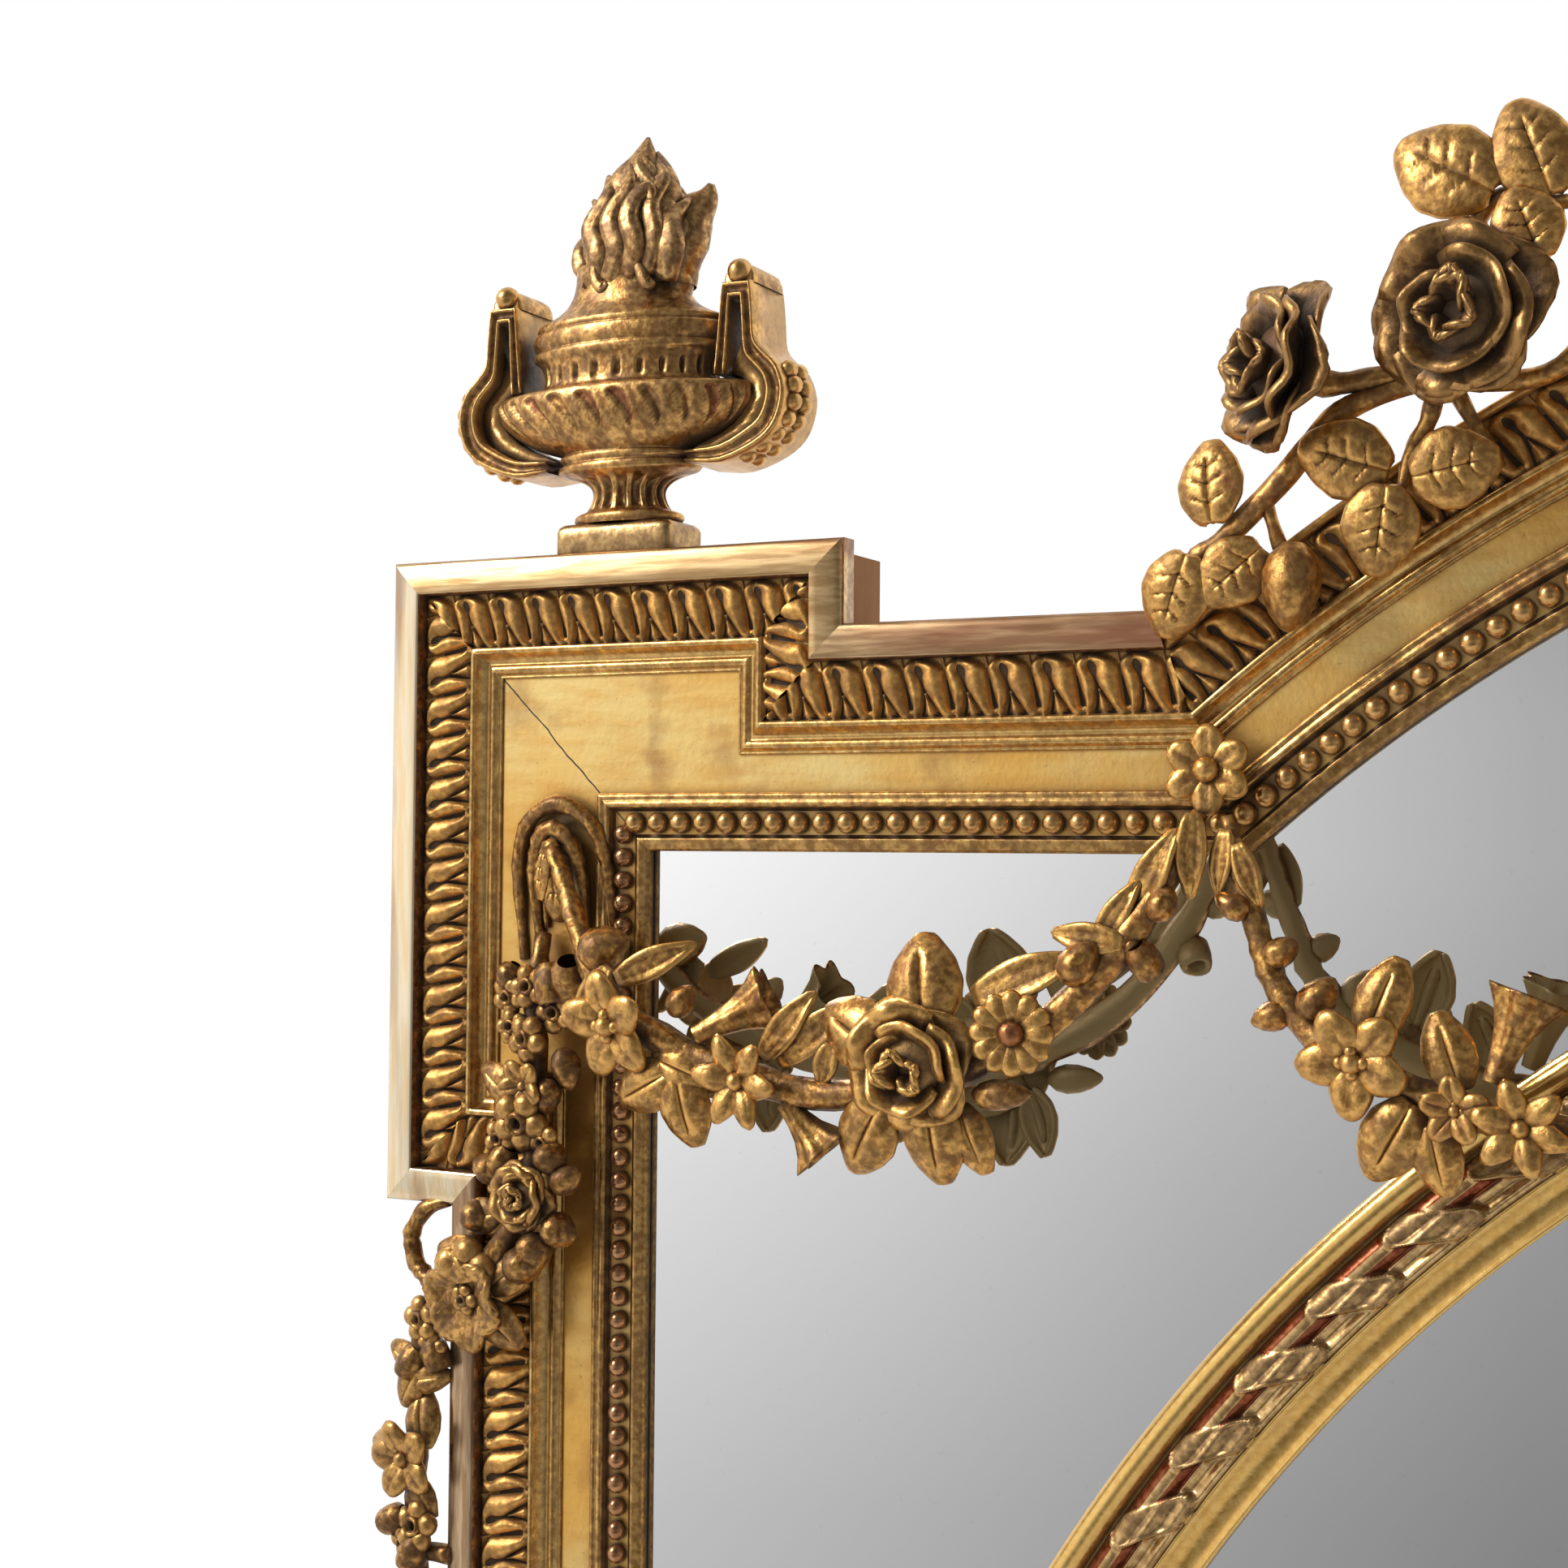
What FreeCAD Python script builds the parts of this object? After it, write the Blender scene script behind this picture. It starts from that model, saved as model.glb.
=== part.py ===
"""Giltwood wall mirror: an eared and arched frame with an oval frame inside it, all in mirror glass.

X runs across the mirror from its middle line, Y runs into the wall and Z runs up.
The wall is the plane Y = 0, the mirror faces -Y, and Z = 0 is the lower edge.
A depth is a distance from the wall towards the viewer.
"""
import FreeCAD, Part
import Sketcher
import math
import os
from types import SimpleNamespace

doc = FreeCAD.newDocument("giltwood_mirror")

# Driving dimensions in millimetres
SIZES = {
    # Outer frame
    "half_width": 672,
    "shoulder_height": 1482,
    "ear_step": 30,
    "ear_width": 191,
    "ear_height": 242,
    "shoulder_run": 141.1,
    "arch_rise": 141.2,
    # Section of the rail, from the glass outwards
    "lip_width": 4.8,
    "pearl_width": 10.8,
    "fillet_width": 5.4,
    "frieze_width": 13.5,
    "ogee_width": 11.4,
    "leaf_width": 20.7,
    "rim_width": 12.6,
    "lip_edge": 1.0,
    "pearl_bed": 0.6,
    "lip_rise": 1.2,
    "fillet_rise": 3.4,
    "ogee_rise": 6.6,
    "leaf_rise": 8.8,
    "rim_rise": 11.0,
    "edge_round": 1.2,
    "arch_border": 2.4,
    # Carcass, glass and back boards
    "board_depth": 30,
    "board_inset": 4,
    "lip_overhang": 6,
    "rebate_width": 12,
    "glass_depth": 26,
    "glass_thickness": 4,
    "glass_play": 2,
    "gap": 0.3,
    "panel_thickness": 10,
    "block_length": 60,
    "block_width": 9,
    "block_height": 7,
    # Oval frame
    "oval_margin": 50.8,
    "oval_headroom": 112,
    "roll_width": 10.5,
    "ribbon_width": 17,
    "scotia_width": 13,
    "roll_rise": 11,
    "ribbon_rise": 13,
    "scotia_rise": 3,
    "rib_width": 6,
    "oval_screw_radius": 2.2,
    "oval_screw_head": 4.2,
    # Hangers
    "hanger_drop": 302,
    "recess_width": 52,
    "recess_above": 64,
    "recess_below": 54,
    "recess_depth": 8,
    "hanger_width": 40,
    "hanger_length": 52,
    "hanger_gauge": 1.5,
    "eye_depth": 4.2,
    "eye_radius": 3.8,
    "eye_bore": 2.8,
    "eye_length": 8,
    "loop_radius": 22,
    "wire_radius": 2,
    "hanger_screw_radius": 2,
    "hanger_screw_length": 16,
    "hanger_screw_side": 13,
    "hanger_screw_rise": 16,
    # Urns
    "plinth_width": 53,
    "plinth_depth": 30,
    "plinth_height": 11.4,
    "urn_depth": 24,
    "bowl_radius": 57,
    "strap_depth": 26,
    "strap_back": 9,
    "knob_radius": 4.6,
    # Carved flowers
    "stem_radius": 3.6,
    "twig_radius": 2.4,
    "peg_radius": 3.5,
    "leaf_gauge": 2.6,
    "bloom_depth": 6,
    "rose_depth": 17,
    "garland_depth": 55,
    "inner_garland_depth": 53,
    "crest_depth": 43,
    "drop_depth": 42,
    "hood_radius": 15,
    "hood_wall": 7,
    "hood_leg": 31,
    "hood_offset": 36.5,
    "hood_rise": 9,
    "rosette_radius": 13.3,
    "rosette_offset": 27,
}

sheet = doc.addObject("Spreadsheet::Sheet", "Sizes")
for row, (alias, number) in enumerate(SIZES.items(), start=1):
    sheet.set(f"A{row}", alias)
    sheet.set(f"B{row}", str(number))
    sheet.setAlias(f"B{row}", alias)
doc.recompute()


class Size:
    """A length that keeps its number and the expression that ties it to the sheet."""

    def __init__(self, number, text):
        self.number = number
        self.text = text

    def __add__(self, other):
        other = size(other)
        return Size(self.number + other.number, f"({self.text} + {other.text})")

    def __sub__(self, other):
        other = size(other)
        return Size(self.number - other.number, f"({self.text} - {other.text})")

    def __mul__(self, other):
        other = size(other)
        return Size(self.number * other.number, f"({self.text} * {other.text})")

    def __truediv__(self, other):
        other = size(other)
        return Size(self.number / other.number, f"({self.text} / {other.text})")

    def __neg__(self):
        return Size(-self.number, f"(0 - {self.text})")

    __radd__ = __add__
    __rmul__ = __mul__

    def __rsub__(self, other):
        return size(other) - self

    def root(self):
        return Size(math.sqrt(self.number), f"sqrt({self.text})")


def size(value):
    """A plain number as a Size."""
    if isinstance(value, Size):
        return value
    return Size(float(value), repr(float(value)))


S = SimpleNamespace(**{alias: Size(float(number), f"Sizes.{alias}") for alias, number in SIZES.items()})
subparts = []


def bind(thing, prop, value):
    """Sets a property and ties it to the sheet."""
    thing.setExpression(prop, size(value).text)


def keep(thing, label):
    """Names a sub-part and puts it on the list of pieces."""
    thing.Label = label
    subparts.append(thing)
    return thing


def mirrored(source, label):
    """The right-hand twin of a left-hand piece."""
    twin = doc.addObject("Part::Mirroring", label)
    twin.Source = source
    twin.Base = FreeCAD.Vector(0, 0, 0)
    twin.Normal = FreeCAD.Vector(1, 0, 0)
    return keep(twin, label)


def start_body(label):
    return keep(doc.addObject("PartDesign::Body", label), label)


def origin_part(body, role):
    for feature in body.Origin.OriginFeatures:
        if feature.Role == role:
            return feature
    raise ValueError(role)


def outline(sketch, points):
    """A closed outline of straight edges, every corner tied to the sheet."""
    corners = [(size(a), size(b)) for a, b in points]
    spots = [FreeCAD.Vector(a.number, b.number, 0) for a, b in corners]
    count = len(spots)
    sketch.addGeometry([Part.LineSegment(spots[i], spots[(i + 1) % count]) for i in range(count)])
    sketch.addConstraint([Sketcher.Constraint("Coincident", i, 2, (i + 1) % count, 1) for i in range(count)])
    for i, (across, along) in enumerate(corners):
        for kind, value in (("DistanceX", across), ("DistanceY", along)):
            number = sketch.addConstraint(Sketcher.Constraint(kind, -1, 1, i, 1, value.number))
            sketch.setExpression(f"Constraints[{number}]", value.text)


def draw(body, plane, points, name="Outline", lift=None):
    """An outline on one of the main planes of a body."""
    sketch = body.newObject("Sketcher::SketchObject", name)
    sketch.AttachmentSupport = (origin_part(body, plane), "")
    sketch.MapMode = "FlatFace"
    if lift is not None:
        bind(sketch, "AttachmentOffset.Base.z", lift)
    outline(sketch, points)
    return sketch


def pad(body, sketch, length):
    feature = body.newObject("PartDesign::Pad", "Pad")
    feature.Profile = sketch
    bind(feature, "Length", length)
    return feature


def cut_through(body, points):
    """Takes away everything inside an outline drawn on the wall."""
    feature = body.newObject("PartDesign::Pocket", "Trim")
    feature.Profile = draw(body, "XZ_Plane", points, "TrimOutline")
    feature.Type = "ThroughAll"
    feature.SideType = "Symmetric"
    return feature


def cut_from_back(body, points, depth):
    """A rebate or recess sunk into the wall side of a board."""
    feature = body.newObject("PartDesign::Pocket", "Recess")
    feature.Profile = draw(body, "XZ_Plane", points, "RecessOutline")
    feature.Reversed = True
    bind(feature, "Length", depth)
    return feature


def drill(body, places, radius, depth):
    """Round holes sunk from the wall side."""
    sketch = body.newObject("Sketcher::SketchObject", "HoleCentres")
    sketch.AttachmentSupport = (origin_part(body, "XZ_Plane"), "")
    sketch.MapMode = "FlatFace"
    for i, (x, z) in enumerate(places):
        centre = FreeCAD.Vector(x.number, z.number, 0)
        sketch.addGeometry(Part.Circle(centre, FreeCAD.Vector(0, 0, 1), radius.number))
        for kind, value in (("DistanceX", x), ("DistanceY", z)):
            number = sketch.addConstraint(Sketcher.Constraint(kind, -1, 1, i, 3, value.number))
            sketch.setExpression(f"Constraints[{number}]", value.text)
        number = sketch.addConstraint(Sketcher.Constraint("Radius", i, radius.number))
        sketch.setExpression(f"Constraints[{number}]", radius.text)
    feature = body.newObject("PartDesign::Pocket", "Holes")
    feature.Profile = sketch
    feature.Reversed = True
    bind(feature, "Length", depth)
    return feature


def rectangle(left, low, right, high):
    return [(left, low), (right, low), (right, high), (left, high)]


# Lines that the pieces share
ogee_start = S.lip_width + S.pearl_width + S.fillet_width + S.frieze_width
leaf_start = ogee_start + S.ogee_width
rim_start = leaf_start + S.leaf_width
rail = rim_start + S.rim_width
sight_half = S.half_width - rail
sight_top = S.shoulder_height - rail
sight_bottom = rail
board_half = sight_half + S.lip_overhang
board_top = sight_top + S.lip_overhang
board_bottom = sight_bottom - S.lip_overhang
carcass_half = S.half_width - S.board_inset
carcass_top = S.shoulder_height - S.board_inset
ear_half = S.half_width + S.ear_step
ear_top = S.shoulder_height + S.ear_step
ear_bottom = ear_top - S.ear_height
ear_inner = ear_half - S.ear_width
ear_middle = ear_half - S.ear_width / 2
pane_reach = S.lip_overhang + S.rebate_width - S.glass_play
pane_half = sight_half + pane_reach
pane_bottom = sight_bottom - pane_reach
pane_top = sight_top + pane_reach
plank_half = pane_half / 3
rebate_depth = S.glass_depth + S.gap
panel_front = S.glass_depth - S.glass_thickness - S.gap
panel_back = panel_front - S.panel_thickness
arch_reach = rim_start + S.arch_border
arch_half = ear_inner - S.shoulder_run
arch_radius = (arch_half * arch_half + S.arch_rise * S.arch_rise) / (S.arch_rise * 2)
arch_crown = sight_top + S.arch_rise
arch_centre = arch_crown - arch_radius
oval_half_width = sight_half - S.oval_margin
oval_low = sight_bottom + S.oval_margin
oval_high = arch_crown - S.oval_headroom
oval_half_height = (oval_high - oval_low) / 2
oval_centre = (oval_high + oval_low) / 2
hanger_height = S.shoulder_height - S.hanger_drop

# The mitre between shoulder and arch, where the two cross as both widen by the same reach
mitre_in = arch_half
mitre_out = (arch_half * arch_half + S.arch_rise * rail * 2).root()


def mitre_at(reach):
    """A point of the straight mitre between shoulder and arch, at a distance out from the glass."""
    share = size(reach) / rail
    return (-(mitre_in + (mitre_out - mitre_in) * share), sight_top + reach)


# Carcass boards of pine, rebated on the inside for the glass
stile = start_body("stile_board_left")
pad(stile, draw(stile, "XZ_Plane", rectangle(-carcass_half, 0, -board_half, carcass_top)), S.board_depth)
rebate_wall = board_half + S.rebate_width
cut_from_back(
    stile,
    rectangle(-rebate_wall, board_bottom - S.rebate_width, -board_half, board_top + S.rebate_width),
    rebate_depth,
)
hanger_x = (carcass_half + rebate_wall) / 2
cut_from_back(
    stile,
    rectangle(
        -hanger_x - S.recess_width / 2,
        hanger_height - S.recess_below,
        -hanger_x + S.recess_width / 2,
        hanger_height + S.recess_above,
    ),
    S.recess_depth,
)
plate_low = hanger_height + S.eye_radius - S.gap
hanger_screw_places = [
    (-hanger_x + S.hanger_screw_side * side, plate_low + S.hanger_length / 2 + S.hanger_screw_rise * rise)
    for side in (-1, 1)
    for rise in (-1, 1)
]
drill(stile, hanger_screw_places, S.hanger_screw_radius + S.gap / 2, S.hanger_screw_length)
mirrored(stile, "stile_board_right")

bottom = start_body("bottom_board")
pad(bottom, draw(bottom, "XZ_Plane", rectangle(-board_half, 0, board_half, board_bottom)), S.board_depth)
cut_from_back(
    bottom,
    rectangle(-board_half, board_bottom - S.rebate_width, board_half, board_bottom),
    rebate_depth,
)

shoulder = start_body("shoulder_board_left")
shoulder_outline = [
    (-board_half, board_top),
    mitre_at(S.lip_overhang),
    mitre_at(rail - S.board_inset),
    (-board_half, carcass_top),
]
pad(shoulder, draw(shoulder, "XZ_Plane", shoulder_outline), S.board_depth)
cut_from_back(
    shoulder,
    rectangle(-board_half, board_top, -mitre_in, board_top + S.rebate_width),
    rebate_depth,
)
mirrored(shoulder, "shoulder_board_right")

ear = start_body("ear_board_left")
ear_side = ear_half - S.board_inset
ear_crown = ear_top - S.board_inset
ear_outline = [
    (-ear_side, ear_bottom + S.board_inset),
    (-carcass_half, ear_bottom + S.board_inset),
    (-carcass_half, carcass_top),
    (-ear_inner - S.board_inset, carcass_top),
    (-ear_inner - S.board_inset, ear_crown),
    (-ear_side, ear_crown),
]
pad(ear, draw(ear, "XZ_Plane", ear_outline), S.board_depth)
mirrored(ear, "ear_board_right")


def arch_side(side):
    """The part of the wall outside the mitre of the arch, on one side."""
    low = mitre_at(-rail)
    high = mitre_at(rail * 2.4)
    far = arch_radius + rail * 2
    return [
        (low[0] * side, low[1]),
        (high[0] * side, high[1]),
        (-far * side, high[1]),
        (-far * side, arch_centre - rail),
        (low[0] * side, arch_centre - rail),
    ]


ARCH_SWEEP = 170


def turned_arch(label, section):
    """A length of board or moulding turned about the centre of the arch and mitred at both ends."""
    body = start_body(label)
    points = [(-size(depth), arch_radius + reach) for reach, depth in section]
    sketch = draw(body, "YZ_Plane", points, "Section")
    bind(sketch, "AttachmentOffset.Base.y", arch_centre)
    turned = body.newObject("PartDesign::Revolution", "Turned")
    turned.Profile = sketch
    turned.ReferenceAxis = (sketch, ["H_Axis"])
    turned.Angle = ARCH_SWEEP
    turned.Midplane = True
    cut_through(body, arch_side(1))
    cut_through(body, arch_side(-1))
    return body


turned_arch(
    "arch_board",
    [
        (S.lip_overhang, rebate_depth),
        (S.lip_overhang, S.board_depth),
        (arch_reach, S.board_depth),
        (arch_reach, 0),
        (S.lip_overhang + S.rebate_width, 0),
        (S.lip_overhang + S.rebate_width, rebate_depth),
    ],
)

# Sections of the mouldings: distance out from the glass, then depth
fillet_start = S.lip_width + S.pearl_width
frieze_start = fillet_start + S.fillet_width
sight_section = [
    (0, rebate_depth),
    (S.lip_overhang, rebate_depth),
    (S.lip_overhang, S.board_depth),
    (frieze_start, S.board_depth),
    (frieze_start, S.board_depth + S.fillet_rise),
    (fillet_start, S.board_depth + S.fillet_rise),
    (fillet_start, S.board_depth + S.pearl_bed),
    (S.lip_width, S.board_depth + S.pearl_bed),
    (S.lip_width, S.board_depth + S.lip_rise),
    (0, rebate_depth + S.lip_edge),
]
ogee_section = [
    (ogee_start, S.board_depth),
    (ogee_start + S.ogee_width * 0.25, S.board_depth + S.ogee_rise * 0.1),
    (ogee_start + S.ogee_width * 0.5, S.board_depth + S.ogee_rise * 0.5),
    (ogee_start + S.ogee_width * 0.8, S.board_depth + S.ogee_rise),
    (leaf_start, S.board_depth + S.ogee_rise),
    (leaf_start + S.leaf_width / 2, S.board_depth + S.leaf_rise * 0.85),
    (rim_start, S.board_depth + S.leaf_rise),
]
outer_section = ogee_section + [
    (rim_start, S.board_depth + S.rim_rise - S.edge_round),
    (rim_start + S.edge_round, S.board_depth + S.rim_rise),
    (rail - S.edge_round, S.board_depth + S.rim_rise),
    (rail, S.board_depth + S.rim_rise - S.edge_round),
    (rail, S.board_depth),
]
arch_section = ogee_section + [(arch_reach, S.board_depth + S.leaf_rise), (arch_reach, S.board_depth)]
UP, DOWN, LEFT, RIGHT = (0, 1), (0, -1), (-1, 0), (1, 0)


def corner_trim(x, z, lean, toward):
    """What lies beyond a mitre through a corner: the mitre leans up to the right for 1, down for -1."""
    reach = rail * 1.2
    ends = [(x - reach, z - reach * lean), (x + reach, z + reach * lean)]
    far = [(a + reach * 2 * toward[0], b + reach * 2 * toward[1]) for a, b in reversed(ends)]
    return ends + far


def upright(body, section, edge, low, high):
    """A standing length of moulding whose outer edge is at a distance left of the middle line."""
    points = [(-(size(edge) - rail + reach), -size(depth)) for reach, depth in section]
    pad(body, draw(body, "XY_Plane", points, "Section", lift=low), high - low)
    return body


def level(body, section, edge, left, right, side=1):
    """A lying length of moulding: its outer edge is at a height, above its glass for 1, below it for -1."""
    points = [(-size(depth), size(edge) + (size(reach) - rail) * side) for reach, depth in section]
    pad(body, draw(body, "YZ_Plane", points, "Section", lift=left), right - left)
    return body


# Sight mouldings, whose lip holds the glass in the rebate
sight_side = upright(start_body("sight_moulding_left"), sight_section, S.half_width, 0, S.shoulder_height)
cut_through(sight_side, corner_trim(-S.half_width, size(0), 1, DOWN))
cut_through(sight_side, corner_trim(-S.half_width, S.shoulder_height, -1, UP))
mirrored(sight_side, "sight_moulding_right")

sight_shoulder = level(
    start_body("sight_moulding_top_left"), sight_section, S.shoulder_height, -S.half_width, -mitre_in + rail
)
cut_through(sight_shoulder, corner_trim(-S.half_width, S.shoulder_height, -1, LEFT))
low_mitre = mitre_at(-rail)
high_mitre = mitre_at(rail * 2)
arch_field = [low_mitre, high_mitre, (0, high_mitre[1]), (0, low_mitre[1])]
cut_through(sight_shoulder, arch_field)
mirrored(sight_shoulder, "sight_moulding_top_right")

turned_arch("sight_moulding_arch", sight_section)

sight_low = level(start_body("sight_moulding_bottom"), sight_section, 0, -S.half_width, S.half_width, -1)
cut_through(sight_low, corner_trim(-S.half_width, size(0), 1, LEFT))
cut_through(sight_low, corner_trim(S.half_width, size(0), -1, RIGHT))

# Outer mouldings: ogee, leaf band and burnished rim
side_rim = upright(start_body("rim_moulding_left"), outer_section, S.half_width, 0, ear_bottom + rail)
cut_through(side_rim, corner_trim(-S.half_width, size(0), 1, DOWN))
cut_through(side_rim, corner_trim(-S.half_width, ear_bottom, 1, UP))
mirrored(side_rim, "rim_moulding_right")

shoulder_rim = level(
    start_body("rim_moulding_top_left"), outer_section, S.shoulder_height, -ear_inner - rail, -mitre_in + rail
)
cut_through(shoulder_rim, corner_trim(-ear_inner, S.shoulder_height, 1, LEFT))
cut_through(shoulder_rim, arch_field)
mirrored(shoulder_rim, "rim_moulding_top_right")

turned_arch("rim_moulding_arch", arch_section)

low_rim = level(start_body("rim_moulding_bottom"), outer_section, 0, -S.half_width, S.half_width, -1)
cut_through(low_rim, corner_trim(-S.half_width, size(0), 1, LEFT))
cut_through(low_rim, corner_trim(S.half_width, size(0), -1, RIGHT))


def group(kind, name, members):
    result = doc.addObject("Part::" + kind, name)
    if kind == "Compound":
        result.Links = members
    else:
        result.Shapes = members
    return result


def loose_body(name):
    return doc.addObject("PartDesign::Body", name)


# The ear's moulding is four short lengths, mitred and glued
ear_foot = level(loose_body("ear_foot"), outer_section, ear_bottom, -ear_half, -S.half_width + rail, -1)
cut_through(ear_foot, corner_trim(-ear_half, ear_bottom, 1, LEFT))
cut_through(ear_foot, corner_trim(-S.half_width, ear_bottom, 1, RIGHT))
ear_flank = upright(loose_body("ear_flank"), outer_section, ear_half, ear_bottom, ear_top)
cut_through(ear_flank, corner_trim(-ear_half, ear_bottom, 1, DOWN))
cut_through(ear_flank, corner_trim(-ear_half, ear_top, -1, UP))
ear_head = level(loose_body("ear_head"), outer_section, ear_top, -ear_half, -ear_inner)
cut_through(ear_head, corner_trim(-ear_half, ear_top, -1, LEFT))
cut_through(ear_head, corner_trim(-ear_inner, ear_top, 1, RIGHT))
ear_return = loose_body("ear_return")
return_section = [(-(ear_inner + rail - reach), -size(depth)) for reach, depth in outer_section]
return_low = S.shoulder_height - rail
return_sketch = draw(ear_return, "XY_Plane", return_section, "Section", lift=return_low)
pad(ear_return, return_sketch, ear_top - return_low)
cut_through(ear_return, corner_trim(-ear_inner, ear_top, 1, UP))
cut_through(ear_return, corner_trim(-ear_inner, S.shoulder_height, 1, DOWN))
ear_lengths = group("MultiFuse", "ear_lengths", [ear_foot, ear_flank, ear_head, ear_return])
ear_rim = keep(ear_lengths, "rim_moulding_ear_left")
mirrored(ear_rim, "rim_moulding_ear_right")


def slab(name, points, back, thickness):
    """A flat plate with straight edges."""
    body = loose_body(name)
    pad(body, draw(body, "XZ_Plane", points, lift=back), thickness)
    return body


TO_WALL = FreeCAD.Vector(0, 1, 0)
TO_FRONT = FreeCAD.Vector(0, -1, 0)
ACROSS = FreeCAD.Vector(1, 0, 0)
TALL_LAY = FreeCAD.Rotation(FreeCAD.Vector(1, 1, 1), 240)
WIDE_LAY = FreeCAD.Rotation(FreeCAD.Vector(1, 0, 0), -90)
oval_is_tall = oval_half_height.number > oval_half_width.number


def oval_line(name, half_width, half_height, depth):
    """An upright ellipse on the oval frame's centre."""
    curve = doc.addObject("Part::Ellipse", name)
    bind(curve, "MajorRadius", half_height if oval_is_tall else half_width)
    bind(curve, "MinorRadius", half_width if oval_is_tall else half_height)
    curve.Placement.Rotation = TALL_LAY if oval_is_tall else WIDE_LAY
    bind(curve, "Placement.Base.y", -size(depth))
    bind(curve, "Placement.Base.z", oval_centre)
    return curve


def disc(name, half_width, half_height, back, thickness):
    """An upright oval plate."""
    solid = doc.addObject("Part::Extrusion", name)
    solid.Base = oval_line(name + "_outline", half_width, half_height, back)
    solid.DirMode = "Custom"
    solid.Dir = TO_FRONT
    solid.Solid = True
    bind(solid, "LengthFwd", thickness)
    return solid


def combine(kind, name, base, tool):
    result = doc.addObject("Part::" + kind, name)
    result.Base = base
    result.Tool = tool
    return result


def rod(name, radius, height, x, depth, z, axis):
    """A round bar from a point along an axis."""
    bar = doc.addObject("Part::Cylinder", name)
    bind(bar, "Radius", radius)
    bind(bar, "Height", height)
    bar.Placement.Rotation = FreeCAD.Rotation(FreeCAD.Vector(0, 0, 1), axis)
    bind(bar, "Placement.Base.x", x)
    bind(bar, "Placement.Base.y", -size(depth))
    bind(bar, "Placement.Base.z", z)
    return bar


def under_arch(name, thing, back, thickness):
    """Trims a plate to the shoulders and the arch."""
    field = slab(name + "_field", rectangle(-pane_half, pane_bottom, pane_half, pane_top), back, thickness)
    round_top = rod(name + "_round", arch_radius + pane_reach, thickness, 0, back, arch_centre, TO_FRONT)
    return combine("Common", name, thing, group("MultiFuse", name + "_field_and_round", [field, round_top]))


# Mirror glass: four margin plates around the oval and one plate inside it, parted by the oval frame's rib
ring_width = S.roll_width + S.ribbon_width + S.scotia_width
rib_in = (ring_width - S.rib_width) / 2
rib_out = rib_in + S.rib_width
high_z = arch_crown + rail
plate_back_depth = S.glass_depth - S.glass_thickness
for label, low, high in (
    ("upper", oval_centre + S.gap / 2, high_z),
    ("lower", pane_bottom, oval_centre - S.gap / 2),
):
    sheet_glass = slab(
        f"margin_{label}_sheet",
        rectangle(-pane_half, low, -S.gap / 2, high),
        plate_back_depth,
        S.glass_thickness,
    )
    opening = disc(
        f"margin_{label}_opening",
        oval_half_width - rib_in + S.gap,
        oval_half_height - rib_in + S.gap,
        plate_back_depth,
        S.glass_thickness,
    )
    plate = combine("Cut", f"margin_{label}_open", sheet_glass, opening)
    if label == "upper":
        plate = under_arch("margin_upper_trim", plate, plate_back_depth, S.glass_thickness)
    keep(plate, f"margin_plate_{label}_left")
    mirrored(plate, f"margin_plate_{label}_right")
centre_plate = disc(
    "centre_sheet",
    oval_half_width - rib_out - S.gap,
    oval_half_height - rib_out - S.gap,
    plate_back_depth,
    S.glass_thickness,
)
keep(centre_plate, "centre_plate")

# Back boards of pine, drilled for the screws of the oval frame
rib_middle = (rib_in + rib_out) / 2
OVAL_SCREW_TURNS = (20, 60, 120, 160, 200, 240, 300, 340)
oval_screw_places = [
    (
        (oval_half_width - rib_middle) * math.cos(math.radians(turn)),
        oval_centre + (oval_half_height - rib_middle) * math.sin(math.radians(turn)),
    )
    for turn in OVAL_SCREW_TURNS
]
plank_left = slab(
    "plank_left",
    rectangle(-pane_half, pane_bottom, -plank_half - S.gap, high_z),
    panel_back,
    S.panel_thickness,
)
plank_trimmed = under_arch("plank_left_trim", plank_left, panel_back, S.panel_thickness)
hole_radius = S.oval_screw_radius + S.gap
hole_start = panel_back - S.panel_thickness / 2
plank_holes = [
    rod("plank_hole", hole_radius, S.panel_thickness * 2, x, hole_start, z, TO_FRONT)
    for x, z in oval_screw_places
    if x.number < 0
]
plank_waste = group("MultiFuse", "plank_holes", plank_holes)
plank_drilled = combine("Cut", "plank_left_drilled", plank_trimmed, plank_waste)
keep(plank_drilled, "back_board_left")
mirrored(plank_drilled, "back_board_right")
plank_centre = slab(
    "plank_centre",
    rectangle(-plank_half, pane_bottom, plank_half, high_z),
    panel_back,
    S.panel_thickness,
)
keep(under_arch("plank_centre_trim", plank_centre, panel_back, S.panel_thickness), "back_board_centre")


def box(name, left, low, right, high, back, front):
    block = doc.addObject("Part::Box", name)
    bind(block, "Length", size(right) - left)
    bind(block, "Width", size(front) - back)
    bind(block, "Height", size(high) - low)
    bind(block, "Placement.Base.x", left)
    bind(block, "Placement.Base.y", -size(front))
    bind(block, "Placement.Base.z", low)
    return block


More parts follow.
